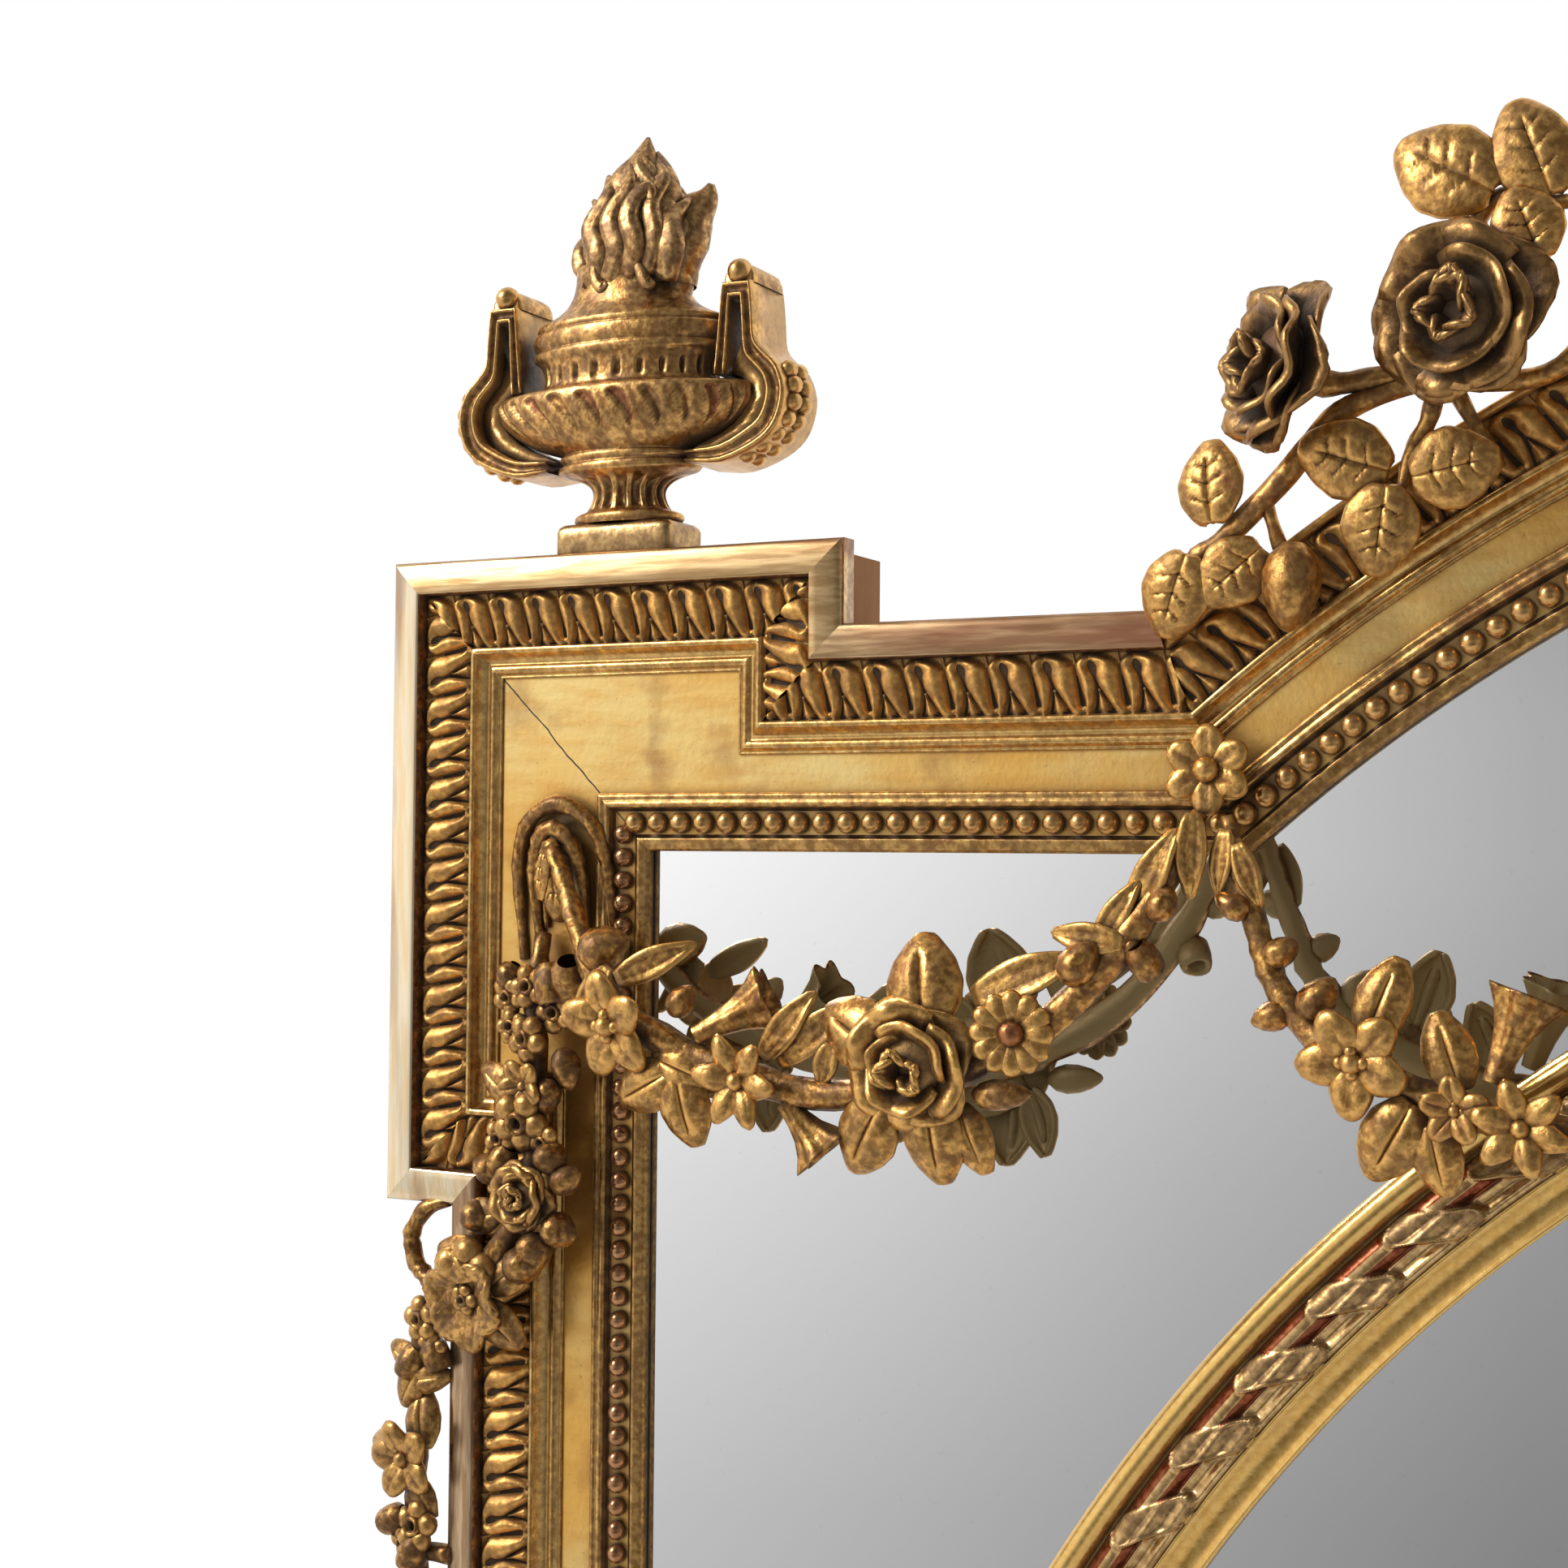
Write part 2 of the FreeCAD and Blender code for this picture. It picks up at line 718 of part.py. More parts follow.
# Glazing blocks glued into the rebate behind the back boards
block_back = panel_back - S.block_height
rebate_floor = board_bottom - S.rebate_width
rebate_crown = board_top + S.rebate_width
blocks = []
for share in (0.2, 0.5, 0.8):
    middle = rebate_floor + (rebate_crown - rebate_floor) * share
    ends = (middle - S.block_length / 2, middle + S.block_length / 2)
    for left in (-rebate_wall, rebate_wall - S.block_width):
        right = left + S.block_width
        blocks.append(box("side_block", left, ends[0], right, ends[1], block_back, panel_back))
for share in (-0.55, 0, 0.55):
    left = rebate_wall * share - S.block_length / 2
    right = left + S.block_length
    top = rebate_floor + S.block_width
    blocks.append(box("low_block", left, rebate_floor, right, top, block_back, panel_back))
for side in (-1, 1):
    left = (board_half + mitre_in) / 2 * side - S.block_length / 2
    right = left + S.block_length
    low = rebate_crown - S.block_width
    blocks.append(box("top_block", left, low, right, rebate_crown, block_back, panel_back))
keep(group("Compound", "blocks", blocks), "glazing_blocks")

# Oval frame in two halves: roll, ribbon over a stick, scotia, and a rib that stands on the back boards
ring_base = S.glass_depth + S.gap
ribbon_start = S.roll_width
scotia_start = S.roll_width + S.ribbon_width
oval_section = [
    (0, ring_base),
    (0, ring_base + S.roll_rise * 0.45),
    (S.roll_width * 0.15, ring_base + S.roll_rise * 0.75),
    (S.roll_width * 0.5, ring_base + S.roll_rise),
    (S.roll_width * 0.85, ring_base + S.roll_rise * 0.8),
    (ribbon_start, ring_base + S.roll_rise * 0.6),
    (ribbon_start + S.ribbon_width * 0.15, ring_base + S.ribbon_rise * 0.82),
    (ribbon_start + S.ribbon_width * 0.5, ring_base + S.ribbon_rise),
    (ribbon_start + S.ribbon_width * 0.85, ring_base + S.ribbon_rise * 0.82),
    (scotia_start, ring_base + S.ribbon_rise * 0.5),
    (scotia_start + S.scotia_width * 0.3, ring_base + S.scotia_rise),
    (ring_width - S.edge_round, ring_base + S.scotia_rise),
    (ring_width, ring_base + S.scotia_rise - S.edge_round),
    (ring_width, ring_base),
    (rib_out, ring_base),
    (rib_out, panel_front),
    (rib_in, panel_front),
    (rib_in, ring_base),
]
ring_profile = doc.addObject("Sketcher::SketchObject", "ring_profile")
ring_profile.Placement.Rotation = FreeCAD.Rotation(
    FreeCAD.Vector(0, 0, 1), FreeCAD.Vector(0, -1, 0), FreeCAD.Vector(1, 0, 0), "XYZ"
)
bind(ring_profile, "Placement.Base.z", oval_centre - oval_half_height)
outline(ring_profile, oval_section)
ring_line = oval_line("ring_line", oval_half_width, oval_half_height, 0)
ring_line.Angle1 = 180 if oval_is_tall else 90
ring_line.Angle2 = ring_line.Angle1.Value + 180
ring = doc.addObject("Part::Sweep", "ring_half")
ring.Sections = [ring_profile]
ring.Spine = (ring_line, ["Edge1"])
ring.Solid = True
ring.Frenet = False
keep(ring, "oval_frame_left")
mirrored(ring, "oval_frame_right")

# Screws through the back boards, which draw the oval frame's rib down on them
oval_screws = []
for x, z in oval_screw_places:
    shank = rod("oval_screw_shank", S.oval_screw_radius, S.panel_thickness, x, panel_back, z, TO_FRONT)
    head = rod("oval_screw_head", S.oval_screw_head, S.oval_screw_radius, x, panel_back, z, TO_WALL)
    oval_screws.append(combine("Fuse", "oval_screw", shank, head))
keep(group("Compound", "oval_screw_set", oval_screws), "oval_screws")

# Hangers let into the backs of the stiles: a plate with a rolled eye, and a ring that swings in it
plate_back = S.recess_depth - S.hanger_gauge
plate_block = box(
    "hanger_block",
    -hanger_x - S.hanger_width / 2,
    plate_low,
    -hanger_x + S.hanger_width / 2,
    plate_low + S.hanger_length,
    plate_back,
    S.recess_depth,
)
eye_left = -hanger_x - S.eye_length / 2
eye_foot = box(
    "eye_foot",
    eye_left,
    hanger_height,
    eye_left + S.eye_length,
    plate_low + S.eye_radius,
    plate_back,
    S.recess_depth,
)
eye = rod("eye", S.eye_radius, S.eye_length, eye_left, S.eye_depth, hanger_height, ACROSS)
eye_hole = rod("eye_hole", S.eye_bore, S.eye_length, eye_left, S.eye_depth, hanger_height, ACROSS)
hanger_solid = group("MultiFuse", "hanger_solid", [plate_block, eye_foot, eye])
hanger_hole = S.hanger_screw_radius + S.gap / 2
hanger_holes = [
    rod("hanger_hole", hanger_hole, S.hanger_gauge * 3, x, plate_back - S.hanger_gauge, z, TO_FRONT)
    for x, z in hanger_screw_places
]
hanger_waste = group("MultiFuse", "hanger_waste", hanger_holes + [eye_hole])
hanger = keep(combine("Cut", "hanger_drilled", hanger_solid, hanger_waste), "hanger_plate_left")
mirrored(hanger, "hanger_plate_right")

loop = doc.addObject("Part::Torus", "hanging_loop")
bind(loop, "Radius1", S.loop_radius)
bind(loop, "Radius2", S.wire_radius)
loop.Placement.Rotation = FreeCAD.Rotation(ACROSS, 90)
bind(loop, "Placement.Base.x", -hanger_x)
bind(loop, "Placement.Base.y", -S.eye_depth)
bind(loop, "Placement.Base.z", hanger_height - S.loop_radius)
keep(loop, "hanging_ring_left")
mirrored(loop, "hanging_ring_right")

# Wood screws, sunk flush in the hanger plates
hanger_screws = [
    rod(
        "hanger_screw",
        S.hanger_screw_radius,
        S.hanger_screw_length - plate_back - S.gap,
        x * side,
        plate_back,
        z,
        TO_FRONT,
    )
    for x, z in hanger_screw_places
    for side in (1, -1)
]
keep(group("Compound", "hanger_screws", hanger_screws), "hanger_screws")

# Urns on the ears: a flattened carved vase, cut flat at the back
urn_x = -ear_middle
urn_axis = S.urn_depth
plinth = box(
    "urn_plinth",
    urn_x - S.plinth_width / 2,
    ear_top,
    urn_x + S.plinth_width / 2,
    ear_top + S.plinth_height,
    urn_axis - S.plinth_depth / 2,
    urn_axis + S.plinth_depth / 2,
)
keep(plinth, "urn_plinth_left")
mirrored(plinth, "urn_plinth_right")


def ovals(name, rows, lean=0.6):
    """A carved round of flattened section: rows give a half width and a height above the ear."""
    sections = []
    for half, height, shift in rows:
        curve = doc.addObject("Part::Ellipse", name + "_round")
        deep = S.urn_depth.number * (half / S.bowl_radius.number) ** lean
        wide, narrow = max(half, deep), min(half, deep)
        bind(curve, "MajorRadius", S.bowl_radius * (wide / S.bowl_radius.number))
        bind(curve, "MinorRadius", S.bowl_radius * (narrow / S.bowl_radius.number))
        if deep > half:
            curve.Placement.Rotation = FreeCAD.Rotation(FreeCAD.Vector(0, 0, 1), 90)
        bind(curve, "Placement.Base.x", urn_x + shift)
        bind(curve, "Placement.Base.y", -urn_axis)
        bind(curve, "Placement.Base.z", ear_top + S.plinth_height + height)
        sections.append(curve)
    loft = doc.addObject("Part::Loft", name)
    loft.Sections = sections
    loft.Solid = True
    loft.Ruled = True
    return loft


URN_ROUNDS = [
    (21, 0, 0),
    (21, 3, 0),
    (17, 6, 0),
    (14.5, 11, 0),
    (18, 15, 0),
    (28, 19.6, 0),
    (29, 22, 0),
    (27, 25.5, 0),
    (35, 28, 0),
    (50, 35, 0),
    (57, 44, 0),
    (54, 49, 0),
    (38, 51, 0),
    (36.5, 59, 0),
    (39.5, 66, 0),
    (39, 74, 0),
    (33, 77, 0),
    (24, 84, 0),
]
urn = keep(ovals("urn_vase", URN_ROUNDS), "urn_body_left")
mirrored(urn, "urn_body_right")
flame_foot = URN_ROUNDS[-1][1]
FLAME_ROUNDS = [
    (21.5, flame_foot, 0),
    (24, flame_foot + 6, 0),
    (28, flame_foot + 16, 0),
    (27, flame_foot + 30, 0),
    (20, flame_foot + 42, 1),
    (11, flame_foot + 52, 2),
    (3, flame_foot + 61, 2.5),
]
flame_core = ovals("flame_core", FLAME_ROUNDS)


def spike(name, foot_radius, tip_radius, foot, tip):
    """A tapering tongue between two points given as x, depth and height."""
    cone = doc.addObject("Part::Cone", name)
    start = FreeCAD.Vector(size(foot[0]).number, -size(foot[1]).number, size(foot[2]).number)
    end = FreeCAD.Vector(size(tip[0]).number, -size(tip[1]).number, size(tip[2]).number)
    bind(cone, "Radius1", foot_radius)
    bind(cone, "Radius2", tip_radius)
    cone.Height = (end - start).Length
    cone.Placement = FreeCAD.Placement(start, FreeCAD.Rotation(FreeCAD.Vector(0, 0, 1), end - start))
    return cone


flame_base = ear_top + S.plinth_height + flame_foot
tongues = [
    spike(
        "flame_tongue",
        S.knob_radius * thick,
        S.wire_radius,
        (urn_x + foot_x, urn_axis + S.knob_radius, flame_base + foot_z),
        (urn_x + tip_x, urn_axis + S.knob_radius, flame_base + tip_z),
    )
    for foot_x, foot_z, tip_x, tip_z, thick in (
        (14, 14, 30, 38, 2.0),
        (-14, 14, -26, 37, 1.8),
        (4, 30, 9, 56, 1.6),
    )
]
flame = keep(group("MultiFuse", "flame_carved", [flame_core] + tongues), "urn_flame_left")
mirrored(flame, "urn_flame_right")

# Strap handles, each with a slot, a knob on top and a tail that wraps under the bowl
strap_base = ear_top + S.plinth_height


def strap(name, side):
    body = doc.addObject("PartDesign::Body", name)
    outline = [
        (41, 50.9),
        (44, 83),
        (56, 83),
        (57.5, 62),
        (66, 54),
        (70, 44),
        (68, 34),
        (58, 24),
        (44, 19.5),
        (29.7, 20),
        (29.7, 24),
        (44, 25.5),
        (55, 31),
        (60.5, 36),
        (62, 44),
        (60, 49.5),
        (53, 56),
        (51.5, 78),
        (47.5, 78),
        (46, 50.4),
    ]
    points = [(urn_x + across * side, strap_base + up) for across, up in outline]
    pad(body, draw(body, "XZ_Plane", points, lift=S.strap_back), S.strap_depth)
    knob = doc.addObject("Part::Sphere", name + "_knob")
    bind(knob, "Radius", S.knob_radius)
    bind(knob, "Placement.Base.x", urn_x + 50 * side)
    bind(knob, "Placement.Base.y", -(S.strap_back + S.strap_depth / 2))
    bind(knob, "Placement.Base.z", strap_base + 83 + S.knob_radius * 0.7)
    return combine("Fuse", name + "_joined", body, knob)


straps = [strap("strap_out", -1), strap("strap_in", 1)]
handles = keep(group("Compound", "urn_straps", straps), "urn_handles_left")
mirrored(handles, "urn_handles_right")

# Carved flowers: every bloom and leaf is joined to its stem, and pegs fix the stems to the frame
KNUCKLE_TURN = FreeCAD.Rotation(FreeCAD.Vector(1, 2, 3), 40)
KNUCKLE_INSET = 0.6
TWIG_SHIFT = FreeCAD.Vector(0.4, 0.3, 0.5)


class Carving:
    """A spray or garland carved from one length of wood."""

    def __init__(self, name):
        self.name = name
        self.members = []
        self.runs = []
        self.knuckles = []

    def at(self, x, depth, z):
        return FreeCAD.Vector(size(x).number, -size(depth).number, size(z).number)

    def add(self, kind, spot, rotation=None, **lengths):
        thing = doc.addObject("Part::" + kind, f"{self.name}_{kind.lower()}")
        for prop, value in lengths.items():
            bind(thing, prop, value)
        thing.Placement = FreeCAD.Placement(spot, rotation or FreeCAD.Rotation())
        self.members.append(thing)
        return thing

    def stem(self, spots, radius=None):
        """Straight lengths that end inside the round knuckle at every bend."""
        radius = size(radius or S.stem_radius)
        for start, end in zip(spots, spots[1:]):
            inset = FreeCAD.Vector(end - start).normalize() * (radius.number * KNUCKLE_INSET)
            self.bar(start + inset, end - inset, radius)
            self.runs.append((start, end))
        for spot in spots:
            if all((spot - knuckle).Length > radius.number for knuckle in self.knuckles):
                self.add("Sphere", spot, KNUCKLE_TURN, Radius=radius * 1.2)
                self.knuckles.append(spot)

    def bar(self, start, end, radius):
        turn = FreeCAD.Rotation(FreeCAD.Vector(0, 0, 1), end - start)
        self.add("Cylinder", start, turn, Radius=radius, Height=(end - start).Length)

    def twig(self, spot):
        """Joins a place to the nearest point of the stems."""
        feet = []
        for start, end in self.runs:
            along = end - start
            share = (spot - start).dot(along) / along.dot(along)
            feet.append(start + along * min(max(share, 0), 1))
        foot = min(feet, key=lambda place: (place - spot).Length)
        if (foot - spot).Length > S.leaf_gauge.number:
            self.bar(foot + TWIG_SHIFT, spot, S.twig_radius * 0.8)

    def bloom(self, spot, radius, depth=None):
        """A flower head that opens towards the viewer."""
        depth = size(depth or S.bloom_depth)
        turn = FreeCAD.Rotation(FreeCAD.Vector(0, 0, 1), TO_FRONT)
        back = spot + TO_WALL * (depth.number / 2)
        if self.runs:
            self.twig(spot)
        self.add("Cone", back, turn, Radius1=size(radius) * 0.55, Radius2=radius, Height=depth)

    def leaf(self, spot, length, width, turn):
        """A leaf in the plane of the wall, pointed at both ends."""
        bend = (length * length + width * width) / (4 * width)
        along = FreeCAD.Rotation(FreeCAD.Vector(0, 1, 0), turn)
        lay = FreeCAD.Rotation(FreeCAD.Vector(0, 0, 1), TO_FRONT)
        halves = []
        for side in (-1, 1):
            offset = along.multVec(FreeCAD.Vector(0, 0, side * (bend - width / 2)))
            half = doc.addObject("Part::Cylinder", self.name + "_leaf_half")
            half.Radius = bend
            bind(half, "Height", S.leaf_gauge)
            half.Placement = FreeCAD.Placement(spot + offset + TO_WALL * (S.leaf_gauge.number / 2), lay)
            halves.append(half)
        self.twig(spot)
        self.members.append(combine("Common", self.name + "_leaf", halves[0], halves[1]))

    def finish(self, label):
        return keep(group("MultiFuse", self.name, self.members), label)


def garland_spot(start, end, share, drop, depth):
    """A point of a garland: a share of the way from end to end, hanging below the straight line."""
    x = start[0] + (end[0] - start[0]) * share
    z = start[1] + (end[1] - start[1]) * share - drop
    return FreeCAD.Vector(x.number, -size(depth).number, z.number)


# Hood of leaves on the ear, from which the garland and the drop hang
hood_x = -(sight_half + S.hood_offset)
hood_z = sight_top + 1
hood_outer = rod("hood_round", S.hood_radius, S.hood_rise, hood_x, S.board_depth, hood_z, TO_FRONT)
niche_radius = S.hood_radius - S.hood_wall
hood_niche = rod("hood_niche", niche_radius, S.hood_rise * 2, hood_x, S.board_depth, hood_z, TO_FRONT)
hood_front = S.board_depth + S.hood_rise
hood_legs = box(
    "hood_legs",
    hood_x - S.hood_radius,
    hood_z - S.hood_leg,
    hood_x + S.hood_radius,
    hood_z,
    S.board_depth,
    hood_front,
)
hood_slot = box(
    "hood_slot",
    hood_x - niche_radius,
    hood_z - S.hood_leg,
    hood_x + niche_radius,
    hood_z,
    S.board_depth,
    hood_front,
)
hood = combine(
    "Cut",
    "hood_cut",
    group("MultiFuse", "hood_solid", [hood_outer, hood_legs]),
    group("MultiFuse", "hood_waste", [hood_niche, hood_slot]),
)
keep(hood, "ear_hood_left")
mirrored(hood, "ear_hood_right")

# Rosette on the mitre between shoulder and arch
knot = mitre_at(S.rosette_offset)
knot_depth = S.board_depth + S.ogee_rise + S.gap
rosette = Carving("rosette")
rosette_spot = rosette.at(knot[0], knot_depth, knot[1])
rosette.add(
    "Cylinder",
    rosette.at(knot[0], S.board_depth, knot[1]),
    FreeCAD.Rotation(FreeCAD.Vector(0, 0, 1), TO_FRONT),
    Radius=S.peg_radius,
    Height=S.ogee_rise + S.gap * 2,
)
rosette.bloom(rosette_spot + TO_FRONT * (S.bloom_depth.number / 2), S.rosette_radius)
rosette.add("Sphere", rosette_spot + TO_FRONT * S.bloom_depth.number, Radius=S.knob_radius)
rosette_piece = rosette.finish("rosette_left")
mirrored(rosette_piece, "rosette_right")

# Outer garland, from the hood to below the rosette
garland = Carving("outer_garland")
hook = (hood_x, hood_z)
tie = (knot[0], knot[1] - S.rosette_radius - S.stem_radius * 1.2 - S.gap)
OUTER_RUN = [
    (0.0, 0, -11),
    (0.10, 36, -5),
    (0.18, 69, 0),
    (0.375, 86, 0),
    (0.64, 82, 1),
    (0.78, 72, 0),
    (0.88, 51, -2),
    (0.967, 23, -5),
    (1.0, 0, -8),
]
outer_spots = [
    garland_spot(hook, tie, share, drop, S.garland_depth + depth)
    for share, drop, depth in OUTER_RUN
]
garland.stem(outer_spots)
garland.add(
    "Cylinder",
    outer_spots[0],
    FreeCAD.Rotation(FreeCAD.Vector(0, 0, 1), TO_WALL),
    Radius=S.peg_radius,
    Height=-outer_spots[0].y - S.board_depth,
)
for share, drop, radius in ((0.18, 69, 17), (0.375, 86, 15), (0.78, 72, 12.5), (0.88, 48, 8)):
    garland.bloom(garland_spot(hook, tie, share, drop, S.garland_depth + S.bloom_depth), radius)
garland.bloom(garland_spot(hook, tie, 0.64, 82, S.garland_depth + S.rose_depth / 2), 22, S.rose_depth)
for share, drop, length, width, turn in (
    (0.30, 62, 30, 16, 20),
    (0.30, 102, 26, 14, -50),
    (0.48, 106, 28, 15, -70),
    (0.57, 108, 26, 20, 80),
    (0.68, 106, 24, 17, -75),
    (0.66, 54, 26, 20, 80),
    (0.84, 45, 24, 10, -40),
    (0.93, 52, 20, 9, -50),
    (0.97, 25, 26, 12, 75),
):
    garland.leaf(garland_spot(hook, tie, share, drop, S.garland_depth), length, width, turn)
outer_garland = garland.finish("outer_garland_left")
mirrored(outer_garland, "outer_garland_right")

# Inner garland, from the rosette over the oval frame to the crown of the arch
inner = Carving("inner_garland")
crown_x = size(-24)
crown_tie = (crown_x, arch_crown + S.lip_width + S.pearl_width / 2)
inner_reach = S.rosette_radius + S.stem_radius * 1.2 + S.gap
inner_tie = (knot[0] + inner_reach * 0.5, knot[1] - inner_reach * 0.866)
INNER_RUN = [
    (0.0, 0, -6),
    (0.02, 18, -7),
    (0.05, 52, -6),
    (0.08, 68, -3),
    (0.14, 92, 0),
    (0.226, 116, 0),
    (0.304, 131, 0),
    (0.43, 143, 0),
    (0.58, 139, 0),
    (0.735, 119, -2),
    (0.875, 80, -5),
    (0.958, 38, -8),
    (1.0, 0, -13),
]
inner_spots = [
    garland_spot(inner_tie, crown_tie, share, drop, S.inner_garland_depth + depth)
    for share, drop, depth in INNER_RUN
]
inner.stem(inner_spots)
inner.add(
    "Cylinder",
    inner_spots[-1],
    FreeCAD.Rotation(FreeCAD.Vector(0, 0, 1), TO_WALL),
    Radius=S.peg_radius,
    Height=-inner_spots[-1].y - S.board_depth - S.pearl_bed,
)
for share, drop, radius in (
    (0.14, 92, 16),
    (0.29, 131, 14),
    (0.52, 142, 15),
    (0.68, 128, 13),
    (0.82, 98, 11),
    (0.92, 58, 8),
):
    depth = S.inner_garland_depth + S.bloom_depth
    inner.bloom(garland_spot(inner_tie, crown_tie, share, drop, depth), radius)
inner.bloom(
    garland_spot(inner_tie, crown_tie, 0.40, 140, S.inner_garland_depth + S.rose_depth / 2), 22, S.rose_depth
)
for share, drop, length, width, turn in (
    (0.12, 70, 24, 12, 20),
    (0.20, 130, 28, 16, -60),
    (0.24, 98, 26, 14, 30),
    (0.34, 160, 28, 15, 70),
    (0.46, 118, 26, 14, -60),
    (0.60, 156, 28, 14, -40),
    (0.64, 118, 26, 13, -70),
    (0.76, 126, 24, 12, -20),
    (0.88, 66, 22, 11, -70),
):
    inner.leaf(garland_spot(inner_tie, crown_tie, share, drop, S.inner_garland_depth), length, width, turn)
inner_garland = inner.finish("inner_garland_left")
mirrored(inner_garland, "inner_garland_right")

# Flower drop: down the ear's frieze, across the rim, then down the outside of the stile
drop = Carving("flower_drop")
drop_x = hood_x - 7
rim_front = S.board_depth + S.rim_rise
drop_rows = [
    drop.at(drop_x, S.drop_depth, hood_z - S.hood_leg - 6),
    drop.at(drop_x, S.drop_depth, ear_bottom + 83),
    drop.at(drop_x, S.drop_depth, ear_bottom + 49),
    drop.at(drop_x, S.drop_depth + 3, ear_bottom + 8),
    drop.at(-(S.half_width - 18), rim_front + 8, ear_bottom - 29),
    drop.at(-(S.half_width + 10), rim_front + 4, ear_bottom - 45),
    drop.at(-(S.half_width + 14), S.drop_depth - 3, ear_bottom - 64),
    drop.at(-(S.half_width + 14), S.drop_depth - 3, ear_bottom - 130),
    drop.at(-(S.half_width + 13), S.drop_depth - 3, ear_bottom - 200),
]
drop.stem(drop_rows, S.stem_radius)
drop.add(
    "Cylinder",
    drop_rows[2],
    FreeCAD.Rotation(FreeCAD.Vector(0, 0, 1), TO_WALL),
    Radius=S.peg_radius,
    Height=S.drop_depth - S.board_depth,
)
drop.add(
    "Cylinder",
    drop_rows[7],
    FreeCAD.Rotation(FreeCAD.Vector(0, 0, 1), ACROSS),
    Radius=S.peg_radius,
    Height=14,
)
for x, z, radius in (
    (drop_x, ear_bottom + 83, 14),
    (drop_x, ear_bottom + 49, 15),
    (drop_x + 2, ear_bottom + 33, 13),
    (-(S.half_width + 14), ear_bottom - 64, 12),
    (-(S.half_width + 14), ear_bottom - 85, 14),
    (-(S.half_width + 16), ear_bottom - 96, 12),
    (-(S.half_width + 14), ear_bottom - 120, 11),
    (-(S.half_width + 14), ear_bottom - 150, 10),
    (-(S.half_width + 13), ear_bottom - 178, 8),
):
    drop.bloom(drop.at(x, S.drop_depth + 3, z), radius)
drop.bloom(drop.at(drop_x, S.drop_depth + 6, ear_bottom + 8), 17, S.rose_depth / 2)
drop.bloom(drop.at(-(S.half_width - 18), rim_front + 9, ear_bottom - 29), 22, S.rose_depth / 2)
flower_drop = drop.finish("flower_drop_left")
mirrored(flower_drop, "flower_drop_right")

# Rose crest along the arch: places are drawn from the crown of an arch of this half span and radius
crest = Carving("crest")
DRAWN_HALF = 369.9
DRAWN_RADIUS = 555.1
arch_turn = math.asin(arch_half.number / arch_radius.number)
drawn_turn = math.asin(DRAWN_HALF / DRAWN_RADIUS)


def on_crest(x, z, height, depth=S.crest_depth):
    """The place at a height above the glass, the same share of the way along the arch as a drawn place."""
    turn = math.atan2(x, DRAWN_RADIUS + z) * arch_turn / drawn_turn
    reach = arch_radius + height
    return crest.at(reach * math.sin(turn), depth, arch_centre + reach * math.cos(turn))


def crest_at(x, z, depth=S.crest_depth):
    """A drawn place, kept at its height above the arch."""
    return on_crest(x, z, math.hypot(x, DRAWN_RADIUS + z) - DRAWN_RADIUS, depth)


CREST_STEMS = (
    ((-388, -62), (-372, -42), (-352, -15), (-318, 4), (-296, 14)),
    ((-318, 4), (-308, -22), (-318, -34)),
    ((-296, 14), (-292, 52), (-262, 62), (-222, 66), (-192, 66)),
    ((-296, 14), (-250, 30), (-205, 70), (-150, 88), (-104, 96)),
)
for run in CREST_STEMS:
    crest.stem([crest_at(x, z) for x, z in run], S.twig_radius)
peg_seat = S.leaf_rise * 0.9 + S.gap
for x, z in ((-352, -60), (-308, -22), (-240, 8), (-150, 62)):
    spot = on_crest(x, z, leaf_start + S.leaf_width / 2)
    crest.add(
        "Cylinder",
        spot,
        FreeCAD.Rotation(FreeCAD.Vector(0, 0, 1), TO_WALL),
        Radius=S.peg_radius,
        Height=S.crest_depth - S.board_depth - peg_seat,
    )
    crest.twig(spot)
for x, z, radius in ((-354, 9, 22), (-296, 22, 24), (-205, 76, 23)):
    crest.bloom(crest_at(x, z, S.crest_depth + S.rose_depth / 2), radius, S.rose_depth)
for x, z, length, width, turn in (
    (-390, -59, 26, 20, 60),
    (-370, -52, 22, 18, -50),
    (-378, -25, 26, 22, 80),
    (-353, -54, 20, 14, -70),
    (-334, -18, 30, 24, 10),
    (-323, -42, 25, 21, -20),
    (-300, -26, 24, 20, 20),
    (-306, 68, 34, 25, 45),
    (-278, 73, 30, 22, 80),
    (-279.5, 45, 22, 19, -60),
    (-252, 30, 28, 20, 20),
    (-236, 84, 30, 22, 60),
    (-180, 44, 28, 20, -30),
    (-176, 100, 30, 22, 70),
    (-140, 70, 28, 20, -10),
    (-120, 112, 28, 20, 50),
):
    crest.leaf(crest_at(x, z), length, width, turn)
crest_spray = crest.finish("crest_spray_left")
mirrored(crest_spray, "crest_spray_right")

bouquet = Carving("bouquet")
bouquet.stem([crest_at(0, 52), crest_at(0, 168)], S.twig_radius)
bouquet.stem([crest_at(-66, 108), crest_at(0, 80), crest_at(66, 108)], S.twig_radius)
for x in (-40, 0, 40):
    bouquet.add(
        "Cylinder",
        crest_at(x, 52),
        FreeCAD.Rotation(FreeCAD.Vector(0, 0, 1), TO_WALL),
        Radius=S.peg_radius,
        Height=S.crest_depth - S.board_depth - peg_seat,
    )
    if x:
        bouquet.bar(crest_at(x, 52), crest_at(x * 1.15, 104), S.twig_radius * 0.9)
for x, z, radius in ((0, 110, 29), (-50, 96, 21), (50, 96, 21)):
    bouquet.bloom(crest_at(x, z, S.crest_depth + S.rose_depth / 2 - S.wire_radius / 2), radius, S.rose_depth)
